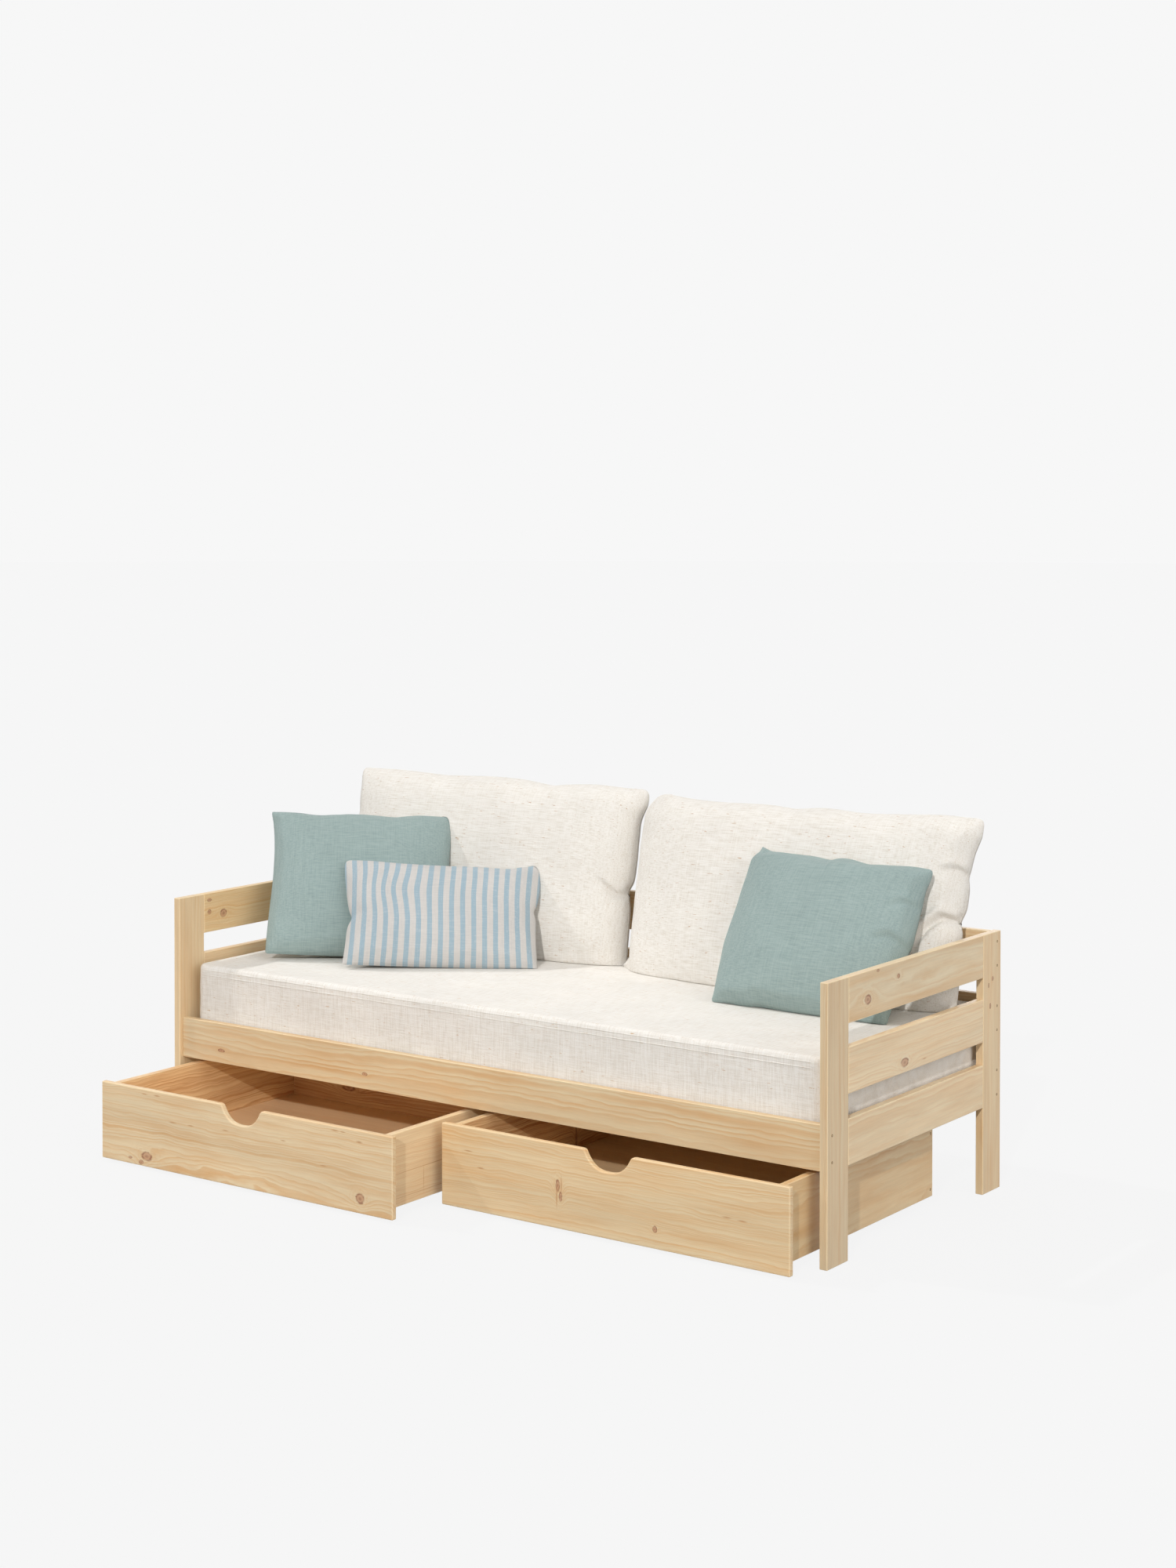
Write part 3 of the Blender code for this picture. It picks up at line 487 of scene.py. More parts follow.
LOOKS = {
    "left_drawer_front": dict(
        seed=1.3, pith=(-0.105, -0.05), ring=0.009, wave=0.05, figure=0.85,
        knots=[
            (-322, -71.7, 16, 10, 1.0), (-341.6, -89.5, 7, 5, 0.8), (-380.6, -82.9, 6, 3, 0.4),
            (383.3, -62.7, 11, 11, 1.0),
        ],
        marks=[
            (-230.9, 27.8, 12, 1.6), (-168.5, 29.1, 10, 1.8), (-51.2, 34.9, 10, 1.6),
            (-285.4, 87.4, 10, 2.2), (-329.7, 86, 10, 1.6), (140.3, 38.7, 8, 1.4),
            (268.2, -2.3, 10, 1.4), (381.1, 71.6, 9, 2.6), (305.4, 88.3, 12, 2),
            (330, 88.2, 8, 1.6),
        ],
    ),
    "right_drawer_front": dict(
        seed=2.9, pith=(-0.22, -0.05), ring=0.0075, wave=0.05, figure=0.8,
        tones=((225, 201, 161), FACE[1]),
        knots=[(-139, 2, 5, 12, 1.5), (-131, -23, 4, 10, 1.2), (130.6, -53.5, 5.5, 6.5, 1.0)],
        marks=[
            (321.5, 5.8, 12, 1.8), (362.1, 4, 12, 2), (-401.6, 42.4, 12, 1.8), (-364, 7, 10, 2),
            (-142, -25, 2, 24), (-129, 5, 1.6, 20),
        ],
    ),
    "front_rail": dict(
        seed=4.1, pith=(-0.09, -0.05), ring=0.015, wave=0.045, figure=0.85,
        tones=((222, 202, 165), (207, 159, 104)),
        knots=[(-835.3, -18.9, 10, 4, 0.8), (-342.6, -14, 8, 4, 0.8)],
    ),
    "right_end_top_rail": dict(
        seed=5.7, pith=(0.002, -0.06), ring=0.0095, wave=0.022, figure=0.8,
        tones=((229, 210, 176), (211, 165, 108)),
        knots=[(-247.4, -12.6, 13, 10, 1.2), (-200, 46, 6, 3, 0.6), (-102.2, 18.8, 6, 5, 0.8)],
    ),
    "right_end_middle_rail": dict(
        seed=6.2, pith=(-0.1, -0.04), ring=0.008, wave=0.03, figure=0.7,
        tones=((236, 214, 178), (218, 168, 110)),
        knots=[(-70.1, -28.6, 15.5, 9.5, 1.0)],
        marks=[(27.3, -36.8, 10, 1.6)],
    ),
    "right_end_low_rail": dict(
        seed=7.5, pith=(-0.09, -0.06), ring=0.019, wave=0.045, figure=0.7,
        tones=((234, 212, 175), (213, 163, 108)),
    ),
    "left_end_top_rail": dict(
        seed=8.4, pith=(0.13, 0.05), ring=0.0065, wave=0.03, figure=0.7,
        tones=((222, 195, 150), (205, 152, 91)),
        knots=[(-314.7, 34, 7, 4, 0.7), (-314.7, 2.1, 6, 6, 0.8), (-259.3, -8, 11, 10, 1.0)],
    ),
    "left_end_middle_rail": dict(seed=9.6, figure=0.6),
    "left_end_low_rail": dict(seed=10.2),
    "back_low_rail": dict(seed=11.8),
    "back_middle_rail": dict(seed=12.6),
    "back_top_rail": dict(seed=13.1, knots=[(310, 10, 12, 9, 1.0)]),
    "front_left_post": dict(seed=14.7, pith=(-0.09, 0.05), ring=0.007, wave=0.02, figure=0.6),
    "front_right_post": dict(
        seed=15.9, pith=(-0.1, -0.04), ring=0.0095, wave=0.03, figure=0.6,
        tones=((217, 196, 161), (200, 152, 99)),
    ),
    "back_left_post": dict(seed=16.4, pith=(0.09, 0.05), ring=0.007, wave=0.02, figure=0.6),
    "back_right_post": dict(
        seed=17.3, pith=(0.11, -0.04), ring=0.007, wave=0.02, figure=0.7,
        knots=[(206, 2.6, 5, 5, 0.8), (191.9, -18.8, 5, 3, 0.6), (140.2, -9.7, 6, 4, 0.6)],
    ),
    # The inner face's tones here are darker and oranger than FACE: painted shade and painted bounce
    # light.
    "left_drawer_left_side": dict(
        seed=18.5, pith=(-0.08, 0.03), ring=0.0085, wave=0.05, figure=1.15,
        tones=((240, 204, 153), (196, 139, 87)), outside=-1,
    ),
    "left_drawer_right_side": dict(
        seed=19.2, ring=0.0055, figure=0.6, tones=((232, 206, 166), (212, 162, 110)),
        marks=[(-100, -10, 300, 1), (-100, -68, 300, 1), (-218, -40, 1, 30)],
    ),
    "left_drawer_back": dict(
        seed=20.6, figure=1.3, tones=DRAWER_INSIDE_SHADE_TONES, outside=1,
        knots=[(-241.3, -21.7, 19, 9, 1.4)],
        marks=[(-285, -17, 22, 2.2), (-195, -30, 26, 2.2)],
    ),
    "right_drawer_left_side": dict(
        seed=21.4, ring=0.007, wave=0.05, figure=1.5, tones=DRAWER_INSIDE_SHADE_TONES, outside=-1,
        knots=[(139, -38, 3.5, 26, 0.5)],
    ),
    "right_drawer_right_side": dict(
        seed=22.8, pith=(-0.12, -0.06), ring=0.045, wave=0.12, figure=1.1,
        tones=((223, 198, 156), (203, 152, 92)),
    ),
    "right_drawer_back": dict(seed=23.7, figure=0.8, tones=DRAWER_INSIDE_SHADE_TONES, outside=1),
    # The drawer bottoms' orange tones are partly the panel's own pale colour and partly painted
    # bounce light of the drawers' insides.
    "left_drawer_bottom": dict(
        seed=24.3, pith=(0.05, -0.06), ring=0.034, wave=0.1, figure=0.35,
        tones=((243, 208, 164), (228, 178, 122)),
    ),
    "right_drawer_bottom": dict(
        seed=25.9, pith=(-0.05, -0.06), ring=0.034, wave=0.1, figure=0.35,
        tones=((246, 214, 168), (234, 186, 130)),
    ),
    "front_slat_ledge": dict(seed=26.1),
    "back_slat_ledge": dict(seed=27.7),
}
for number in range(1, 12):
    LOOKS[f"slat_{number:02d}"] = dict(seed=30.0 + 1.37 * number, pith=(0.03, -0.06))


# ---- metal and plastic


def metal(name, tone, roughness):
    """Zinc with a faint spangle and fine brushing."""
    material, graph, shader = new_surface(name)
    place = graph.object_point()
    shade = graph.span(graph.noise(place, (160, 160, 160), 3.0), 0.3, 0.7, 0.86, 1.05)
    brushed = graph.noise(place, (2400, 300, 2400))
    gloss = graph.span(brushed, 0.2, 0.8, roughness - 0.08, roughness + 0.1)
    color = graph.shaded(tone, shade)
    finish_surface(graph, shader, color, gloss, (brushed, 0.15, 0.0001), {"Metallic": 1.0})
    return material


def plastic():
    """Dark moulded plastic, finely pitted and a little dusty."""
    material, graph, shader = new_surface("castor_plastic")
    place = graph.object_point()
    pitted = graph.noise(place, (1500, 1500, 1500))
    dusty = graph.span(graph.noise(place, (90, 90, 90), 3.0), 0.45, 0.8, smooth=True)
    color = graph.mix(graph.times(dusty, 0.25), srgb(38, 38, 40), srgb(96, 92, 86))
    gloss = graph.span(pitted, 0.2, 0.8, 0.42, 0.6)
    finish_surface(graph, shader, color, gloss, (pitted, 0.2, 0.0001), {})
    return material


# ---- weaves

STRIPE_PITCH, STRIPE_SHARE, STRIPE_EDGE, STRIPE_START = 0.0300, 0.45, 0.03, 100.2
STRIPE_BOW, STRIPE_BOW_HEIGHT, STRIPE_DRIFT = 0.035, 0.163, 0.008
STRIPE_PALE, STRIPE_BLUE = srgb(200, 196, 191), srgb(153, 174, 185)
DIMPLE_PLACE, DIMPLE_SIZE, DIMPLE_PUSH = (-0.125, 0.045), (0.085, 0.055), 0.014


def weave_coordinates(graph, home):
    """The point in the piece's own frame, so that the weave follows the piece however it leans."""
    place = graph.vector("SUBTRACT", graph.object_point(), tuple(home.translation))
    axes = [tuple(home.col[axis].to_3d()) for axis in range(3)]
    return graph.join(*(graph.vector("DOT_PRODUCT", place, axis) for axis in axes))


def woven(name, home, tone, dark, light, slub, thread, warp_share, flecks=None, stripes=None):
    """A plain woven cover. Weft runs along the piece's x and warp along its other axes, so the
    weave needs no unwrapping. Slub is how strongly thick threads show, thread their pitch, and
    warp_share how strongly the warp shows beside the weft."""
    material, graph, shader = new_surface(name)
    place = weave_coordinates(graph, home)
    cut = graph.vector("ADD", place, tuple(home.translation * 3))
    weft = graph.noise(cut, (24, 380, 380), 3.0, 0.6)
    warp = graph.noise(cut, (420, 22, 22), 3.0, 0.6)
    middle = 0.5 + 0.5 * warp_share
    shade = graph.plus(weft, graph.times(warp, warp_share))
    shade = graph.span(shade, middle - 0.22, middle + 0.22)
    color = stripes(graph, place) if stripes else tone
    color = graph.mix(graph.times(graph.span(shade, 0.5, 0.0), slub), color, dark)
    color = graph.mix(graph.times(graph.span(shade, 0.5, 1.0), slub), color, light)
    patch = graph.span(graph.noise(cut, (7, 9, 9), 3.0), 0.3, 0.7, 0.965, 1.025)
    color = graph.shaded(color, patch)
    if flecks:
        speck = graph.span(graph.noise(cut, (48, 330, 330)), 0.68, 0.75, smooth=True)
        color = graph.mix(graph.times(speck, 0.8), color, flecks)
    turns = 2 * math.pi / thread
    x, y, z = graph.split(place)[:3]
    across = graph.math("SINE", graph.times(x, turns))
    along = graph.math("SINE", graph.times(graph.plus(y, z), turns))
    threads = graph.times(across, along)
    height = graph.plus(graph.times(threads, 0.25), graph.times(weft, 1.4), warp)
    finish_surface(
        graph, shader, color, graph.span(threads, -1.0, 1.0, 0.86, 0.98), (height, 0.5, 0.0012),
        {"Sheen Weight": 0.12, "Sheen Roughness": 0.5, "Specular IOR Level": 0.2},
    )
    return material


def lumbar_stripes(graph, place):
    """Upright stripes that bow with the cloth's drawn-in sides and round a dimple."""
    x, _, z = graph.split(place)[:3]
    level = graph.over(z, STRIPE_BOW_HEIGHT)
    bow = graph.times(graph.minus(1.0, graph.times(level, level)), STRIPE_BOW)
    flat = graph.times(x, graph.plus(1.0, bow))
    dx, dz = (
        graph.over(graph.minus(value, middle), size)
        for value, middle, size in zip((x, z), DIMPLE_PLACE, DIMPLE_SIZE)
    )
    near = graph.plus(graph.times(dx, dx), graph.times(dz, dz))
    dimple = graph.times(graph.math("EXPONENT", graph.times(near, -1.0)), DIMPLE_PUSH)
    drift = graph.minus(graph.noise(place, (5, 9, 9), 1.0), 0.5)
    flat = graph.plus(flat, dimple, graph.times(drift, STRIPE_DRIFT))
    turn = graph.math("FRACT", graph.plus(graph.over(flat, STRIPE_PITCH), STRIPE_START))
    end = STRIPE_SHARE + STRIPE_EDGE
    blue = graph.ramp(turn, ((0.0, 0.0), (STRIPE_EDGE, 1.0), (STRIPE_SHARE, 1.0), (end, 0.0)))
    return graph.mix(blue, STRIPE_PALE, STRIPE_BLUE)


# ---- cloth covers

SKIN, NEIGHBOUR_REACH = 0.0008, 0.06
BACK_PROUD = 0.001
SEAM_STEPS, SEAM_RADIUS = 400, 0.0012
SEAM_SUNK, MATTRESS_SEAM_SUNK = 0.0006, 0.0005
LUMP, RUCK = 0.0030, 0.0014
COVER_TIGHT = 0.55
SIM_FRAMES = 12
SIM_SEAM_REACH = 0.014
SIM_CAP, SIM_DRIFT = 0.012, 0.003
SIM_SETTINGS = {
    "quality": 4, "mass": 0.25, "tension_stiffness": 18, "compression_stiffness": 18,
    "shear_stiffness": 6, "bending_stiffness": 0.35, "use_pressure": True,
    "vertex_group_shrink": "seam", "shrink_min": 0.0, "shrink_max": 0.02,
}


def local_form(node, turn):
    """The node's mesh in its own frame, x along its width and z up its height, and the matrix
    that takes it back."""
    yaw, lean, tilt = (math.radians(angle) for angle in turn)
    spin = Matrix.Rotation(yaw, 4, "Z") @ Matrix.Rotation(-lean, 4, "X")
    spin = spin @ Matrix.Rotation(tilt, 4, "Y")
    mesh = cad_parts[node].data
    inverse = spin.inverted()
    points = [inverse @ vertex.co for vertex in mesh.vertices]
    low, high = (Vector(pick(p[axis] for p in points) for axis in range(3)) for pick in (min, max))
    middle = (low + high) / 2
    points = [point - middle for point in points]
    return points, faces_of(mesh), spin @ Matrix.Translation(middle), (high - low) / 2


def faces_of(mesh):
    return [tuple(face.vertices) for face in mesh.polygons]


def tree_of(obj):
    points = [obj.matrix_world @ vertex.co for vertex in obj.data.vertices]
    return BVHTree.FromPolygons(points, faces_of(obj.data))


def held(value, low, high):
    return min(max(value, low), high)


def rise(value, low, high):
    """A smooth step from 0 at low to 1 at high."""
    share = held((value - low) / (high - low), 0.0, 1.0)
    return share * share * (3 - 2 * share)


def bell(value, width):
    return math.exp(-((value / width) ** 2))


def read_table(table, at):
    """A smooth curve through the (place, value) pairs of a table, read at one place."""
    last = len(table) - 1
    spot = next((index for index in range(last) if at <= table[index + 1][0]), last - 1)
    (x0, y0), (x1, y1) = table[spot], table[spot + 1]
    before, after = table[max(spot - 1, 0)], table[min(spot + 2, last)]
    slope0 = (y1 - before[1]) / (x1 - before[0]) * (x1 - x0)
    slope1 = (after[1] - y0) / (after[0] - x0) * (x1 - x0)
    t = held((at - x0) / (x1 - x0), 0.0, 1.0)
    rest = 1 - t
    return (
        rest**2 * (1 + 2 * t) * y0 + t**2 * (1 + 2 * rest) * y1
        + t * rest**2 * slope0 - t**2 * rest * slope1
    )


def graded(count, tight):
    """Places from -1 to 1, closer together near the ends by the share tight."""
    places = [2 * step / count - 1 for step in range(count + 1)]
    return [(1 - tight) * place + tight * math.sin(place * math.pi / 2) for place in places]


def rounded_corner(x, z, half_x, half_z, radius):
    """A rectangle's point after its corners have been rounded."""
    near_x, near_z = (abs(x) - half_x + radius) / radius, (abs(z) - half_z + radius) / radius
    if near_x <= 0 or near_z <= 0:
        return x, z
    round_x = half_x - radius + radius * near_x * math.sqrt(1 - near_z**2 / 2)
    round_z = half_z - radius + radius * near_z * math.sqrt(1 - near_x**2 / 2)
    return math.copysign(round_x, x), math.copysign(round_z, z)


def add_sheets(shape, columns, rows, place, joined):
    """A front and a back sheet of quads, with points at place(column, row, side). Joined sheets
    share their rim. Gives the points of each by (column, row)."""
    sheets = []
    for side in (1, -1):
        sheet = {}
        for column in range(columns + 1):
            for row in range(rows + 1):
                rim = column in (0, columns) or row in (0, rows)
                if joined and rim and sheets:
                    sheet[column, row] = sheets[0][column, row]
                else:
                    sheet[column, row] = shape.verts.new(place(column, row, side))
        sheets.append(sheet)
        for column in range(columns):
            for row in range(rows):
                steps = ((0, 0), (1, 0), (1, 1), (0, 1))
                corners = [sheet[column + right, row + up] for right, up in steps]
                shape.faces.new(corners[::side])
    return sheets


def bridge(shape, first, second, side=1):
    """A belt of quads between two closed loops of points."""
    for step in range(len(first)):
        after = (step + 1) % len(first)
        shape.faces.new((first[step], first[after], second[after], second[step])[::side])


def cover_point(u, v, half, form):
    """A point of the cover's front face. Its outline is a rectangle with rounded corners, whose
    sides stand out or in by the millimetres that the form's tables give."""
    x, z = half.x * u, half.z * v
    radius = form["corners"][(u > 0) + 2 * (v > 0)] * MM
    if radius:
        x, z = rounded_corner(x, z, half.x, half.z, radius)
    x += math.copysign(abs(u) ** 3, u) * read_table(form["right" if u > 0 else "left"], v) * MM
    z += math.copysign(abs(v) ** 3, v) * read_table(form["top" if v > 0 else "bottom"], u) * MM
    level = form["box"] if v > 0 else form["foot"]
    swell = (1 - abs(u) ** form["box"]) * (1 - abs(v) ** level)
    return x, -half.y * form["start"] * math.sqrt(max(swell, 0.0)), z


def cover_shape(half, form):
    """Two faces of even quads that meet in a seam all round, with closer lines near the seam."""
    shape = bmesh.new()
    along, up = (graded(round(2 * size / form["quad"]), COVER_TIGHT) for size in (half.x, half.z))

    def place(column, row, side):
        x, y, z = cover_point(along[column], up[row], half, form)
        return x, y * side, z

    add_sheets(shape, len(along) - 1, len(up) - 1, place, joined=True)
    return shape


def settle(obj, half, lean):
    """Lets the lower edge of a leaning cushion sink down flat on the mattress."""
    for vertex in obj.data.vertices:
        low = rise(-vertex.co.z / half.z, 0.25, 1.0)
        vertex.co.z += (vertex.co.y - half.y) * math.tan(math.radians(lean)) * low


def evaluated_mesh(obj):
    graph = bpy.context.evaluated_depsgraph_get()
    return bpy.data.meshes.new_from_object(obj.evaluated_get(graph))


def apply_modifiers(obj):
    bpy.context.view_layer.update()
    old, obj.data = obj.data, evaluated_mesh(obj)
    obj.modifiers.clear()
    bpy.data.meshes.remove(old)


def subdivide(obj):
    smooth = obj.modifiers.new("finer", "SUBSURF")
    smooth.levels = smooth.render_levels = 1
    apply_modifiers(obj)


def inflate(obj, pressure):
    """Swells the cover by a cloth simulation whose seam is a little short, then applies it. No
    point moves further than SIM_CAP through the cover, nor than SIM_DRIFT along it."""
    start = [vertex.co.copy() for vertex in obj.data.vertices]
    seam = obj.vertex_groups.new(name="seam")
    for vertex in obj.data.vertices:
        near = max(0.0, 1 - abs(vertex.co.y) / SIM_SEAM_REACH)
        if near:
            seam.add([vertex.index], near, "REPLACE")
    cloth = obj.modifiers.new("cover", "CLOTH")
    for name, value in SIM_SETTINGS.items():
        setattr(cloth.settings, name, value)
    cloth.settings.uniform_pressure_force = pressure
    cloth.settings.effector_weights.gravity = 0
    cloth.collision_settings.use_collision = False
    cloth.collision_settings.use_self_collision = False
    cloth.point_cache.frame_start = 1
    cloth.point_cache.frame_end = SIM_FRAMES
    for number in range(1, SIM_FRAMES + 1):
        bpy.context.scene.frame_set(number)
    apply_modifiers(obj)
    bpy.context.scene.frame_set(1)
    obj.vertex_groups.clear()
    for vertex, before in zip(obj.data.vertices, start):
        move = vertex.co - before
        flat = Vector((move.x, 0, move.z))
        if flat.length > SIM_DRIFT:
            flat *= SIM_DRIFT / flat.length
        vertex.co = before + flat + Vector((0, held(move.y, -SIM_CAP, SIM_CAP), 0))


def fold_depth(u, v, line, width, depth):
    """How far a fold draws the front face in at (u, v): a valley along a line that runs in from
    the rim and fades out, with the cloth above it standing out over it."""
    spot, best, passed = Vector((u, v)), None, 0.0
    line = [Vector(point) for point in line]
    total = sum((second - first).length for first, second in zip(line, line[1:]))
    for first, second in zip(line, line[1:]):
        run, offset = second - first, spot - first
        share = held(offset.dot(run) / run.length_squared, 0.0, 1.0)
        gap = offset - run * share
        if best is None or gap.length < best[0].length:
            best = (gap, (passed + run.length * share) / total)
        passed += run.length
    gap, share = best
    near = math.copysign(gap.length, gap.y)
    valley = bell(near, width) - 0.5 * bell(near - 1.9 * width, 1.7 * width)
    return depth * (1 - share**2) * valley


def shape_cover(obj, half, folds, seed):
    """The cover's own unevenness: folds, slight lumps, and rucks near its seam."""
    for vertex in obj.data.vertices:
        x, y, z = vertex.co
        u, v = x / half.x, z / half.z
        level = v * half.z / half.x
        for line, width, depth in folds:
            scaled = [(a, b * half.z / half.x) for a, b in line]
            y += fold_depth(u, level, scaled, width, depth) if y < 0 else 0
        lump = noise.noise(Vector((x * 6, z * 6, seed))) * LUMP
        ruck = noise.noise(Vector((x * 30, z * 30, seed + 4))) * RUCK
        rim = 1 - rise(min(1 - abs(u), 1 - abs(v)), 0.02, 0.24)
        y += math.copysign(1, y) * (lump * (1 - rim) + ruck * rim) * rise(abs(y), 0.002, 0.02)
        vertex.co = (x, y, z)


def press_clear(obj, neighbours):
    """Moves points that reach into a neighbour back to its surface, as where cloth lies on it."""
    matrix = obj.matrix_world
    inverse = matrix.inverted()
    for tree in neighbours:
        for vertex in obj.data.vertices:
            point = matrix @ vertex.co
            spot, normal, _, _ = tree.find_nearest(point, NEIGHBOUR_REACH)
            if spot is not None and (point - spot).dot(normal) < SKIN:
                vertex.co = inverse @ (spot + normal * SKIN)


def keep_inside(obj, points, faces, proud):
    """Holds the cover to its solid, from which it may stand proud by a few millimetres, but
    hardly at its back, where it leans on something."""
    tree = BVHTree.FromPolygons(points, faces)
    back = max(point.y for point in points) + BACK_PROUD
    for vertex in obj.data.vertices:
        spot, normal, _, _ = tree.find_nearest(vertex.co)
        over = (vertex.co - spot).dot(normal)
        if over > proud:
            vertex.co -= normal * (over - proud)
        vertex.co.y = min(vertex.co.y, back)


def add_cord(name, line, material):
    """A closed sewn line along the points given."""
    curve = bpy.data.curves.new(name, "CURVE")
    curve.dimensions = "3D"
    curve.bevel_depth = SEAM_RADIUS
    curve.bevel_resolution = 2
    spline = curve.splines.new("POLY")
    spline.points.add(len(line) - 1)
    for point, place in zip(spline.points, line):
        point.co = (*place, 1)
    spline.use_cyclic_u = True
    cord = add_object(name, curve)
    mesh = evaluated_mesh(cord)
    bpy.data.objects.remove(cord)
    mesh.materials.clear()
    mesh.materials.append(material)
    mesh.shade_smooth()
    return add_object(name, mesh)


def outermost(cover, half, across, level, sunk):
    """The cover's outermost line in the plane of x and the axis across, at a level on the third."""
    tree = tree_of(cover)
    line = []
    for step in range(SEAM_STEPS):
        angle = 2 * math.pi * step / SEAM_STEPS
        way = Vector((math.cos(angle) * half.x, 0, 0))
        way[across] = math.sin(angle) * half[across]
        way.normalize()
        start = way * 2
        start[3 - across] = level
        spot, _, _, _ = tree.ray_cast(start, -way)
        if spot is not None:
            line.append(spot - way * sunk)
    return line


def finish_soft(pieces, node, behind):
    bpy.context.view_layer.update()
    for piece in pieces:
        press_clear(piece, behind)
        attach(piece, "frame")
    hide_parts(node)


def cushion_cover(node, turn, cloth, form, folds=(), seed=0.0, behind=()):
    """A cushion's cover with its seam. Turn is (yaw, lean, tilt) in degrees."""
    points, faces, home, half = local_form(node, turn)
    material = woven(f"{node}_cloth", home, **cloth)
    cover = add_mesh(f"{node}_cover", cover_shape(half, form), material)
    inflate(cover, form["pressure"])
    keep_inside(cover, points, faces, form["proud"])
    subdivide(cover)
    shape_cover(cover, half, folds, seed)
    cover.data.shade_smooth()
    seam = add_cord(f"{node}_seam", outermost(cover, half, 2, 0.0, SEAM_SUNK), material)
    for piece in (cover, seam):
        if form["foot"] > form["box"]:
            settle(piece, half, turn[1])
        piece.data.transform(home)
    finish_soft((cover, seam), node, behind)
    return cover


# ---- mattress

MATTRESS_LEFT_SPAN, MATTRESS_RIGHT_SPAN, MATTRESS_RISE = 0.015, 0.023, 0.004
MATTRESS_ROLL = 0.012
MATTRESS_CORNER = 0.032
MATTRESS_SEAM_DROPS = (0.013, 0.026)
MATTRESS_COLUMNS, MATTRESS_ROWS, MATTRESS_LEVELS = 110, 46, 14
MATTRESS_TIGHT = 0.8
MATTRESS_RIM = 0.10
MATTRESS_WAVE, MATTRESS_RUCK, MATTRESS_FINE, MATTRESS_SINK = 0.0030, 0.0018, 0.0007, 0.0015


def mattress_shape(half):
    """Top and bottom sheets that roll over into upright borders, with rounded corners."""
    shape = bmesh.new()
    along, across = (graded(count, MATTRESS_TIGHT) for count in (MATTRESS_COLUMNS, MATTRESS_ROWS))

    def place(column, row, side):
        x, y = half.x * along[column], half.y * across[row]
        x, y = rounded_corner(x, y, half.x, half.y, MATTRESS_CORNER)
        over = (abs(x) - half.x + MATTRESS_CORNER, abs(y) - half.y + MATTRESS_CORNER)
        beside = [max(value, 0) for value in over]
        roll = max(MATTRESS_ROLL - (MATTRESS_CORNER - Vector(beside).length), 0.0)
        z = half.z - MATTRESS_ROLL + math.sqrt(max(MATTRESS_ROLL**2 - roll**2, 0.0))
        return x, y, z * side

    top, bottom = add_sheets(shape, MATTRESS_COLUMNS, MATTRESS_ROWS, place, joined=False)
    rim = [(column, 0) for column in range(MATTRESS_COLUMNS)]
    rim += [(MATTRESS_COLUMNS, row) for row in range(MATTRESS_ROWS)]
    rim += [(column, MATTRESS_ROWS) for column in range(MATTRESS_COLUMNS, 0, -1)]
    rim += [(0, row) for row in range(MATTRESS_ROWS, 0, -1)]
    below = [bottom[spot] for spot in rim]
    for level in range(1, MATTRESS_LEVELS):
        share = level / MATTRESS_LEVELS
        above = [shape.verts.new(bottom[spot].co.lerp(top[spot].co, share)) for spot in rim]
        bridge(shape, below, above)
        below = above
    bridge(shape, below, [top[spot] for spot in rim])
    return shape


def mattress_cover(node, cloth):
    """The mattress with its cover: smooth faces that roll over into borders with sewn seams."""
    material = woven(f"{node}_cloth", Matrix(), **cloth)
    low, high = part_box(node)
    low.x -= MATTRESS_LEFT_SPAN
    high.x += MATTRESS_RIGHT_SPAN
    high.z += MATTRESS_RISE
    middle, half = (low + high) / 2, (high - low) / 2
    cover = add_mesh(f"{node}_cover", mattress_shape(half), material)
    subdivide(cover)
    for vertex in cover.data.vertices:
        x, y, z = vertex.co
        rim = max(abs(x) - half.x, abs(y) - half.y) + MATTRESS_RIM
        rim = rise(rim, 0.0, MATTRESS_RIM)
        wave = noise.noise(Vector((x * 2.6, y * 2.6, 3.1))) * MATTRESS_WAVE
        ruck = noise.noise(Vector((x * 15, y * 15, z * 9))) * MATTRESS_RUCK
        ruck *= rise(abs(z) / half.z, 0.2, 0.95)
        fine = noise.noise(Vector((x * 55, y * 55, z * 20))) * MATTRESS_FINE * rim
        vertex.co.z += (wave - MATTRESS_SINK) * (1 - rim) if z > half.z * 0.8 else 0
        outward = Vector((x / half.x, y / half.y, 0))
        vertex.co += outward * (ruck + fine - MATTRESS_SINK) * rim
    cover.data.shade_smooth()
    pieces = [cover]
    for side, word in ((1, "top"), (-1, "bottom")):
        for number, drop in enumerate(MATTRESS_SEAM_DROPS, 1):
            line = outermost(cover, half, 1, side * (half.z - drop), MATTRESS_SEAM_SUNK)
            pieces.append(add_cord(f"{node}_{word}_seam_{number}", line, material))
    for piece in pieces:
        piece.location = middle
    finish_soft(pieces, node, ())
    return cover


# ---- the soft goods' forms and cloths

# Box and foot are how square a form is above and below, start how deep it is before it is blown
# up, quad the pitch of its mesh, and proud how far it may pass its solid. Corners are radii, and
# the tables say (place along a side from -1 to 1, how far it stands out), in millimetres.

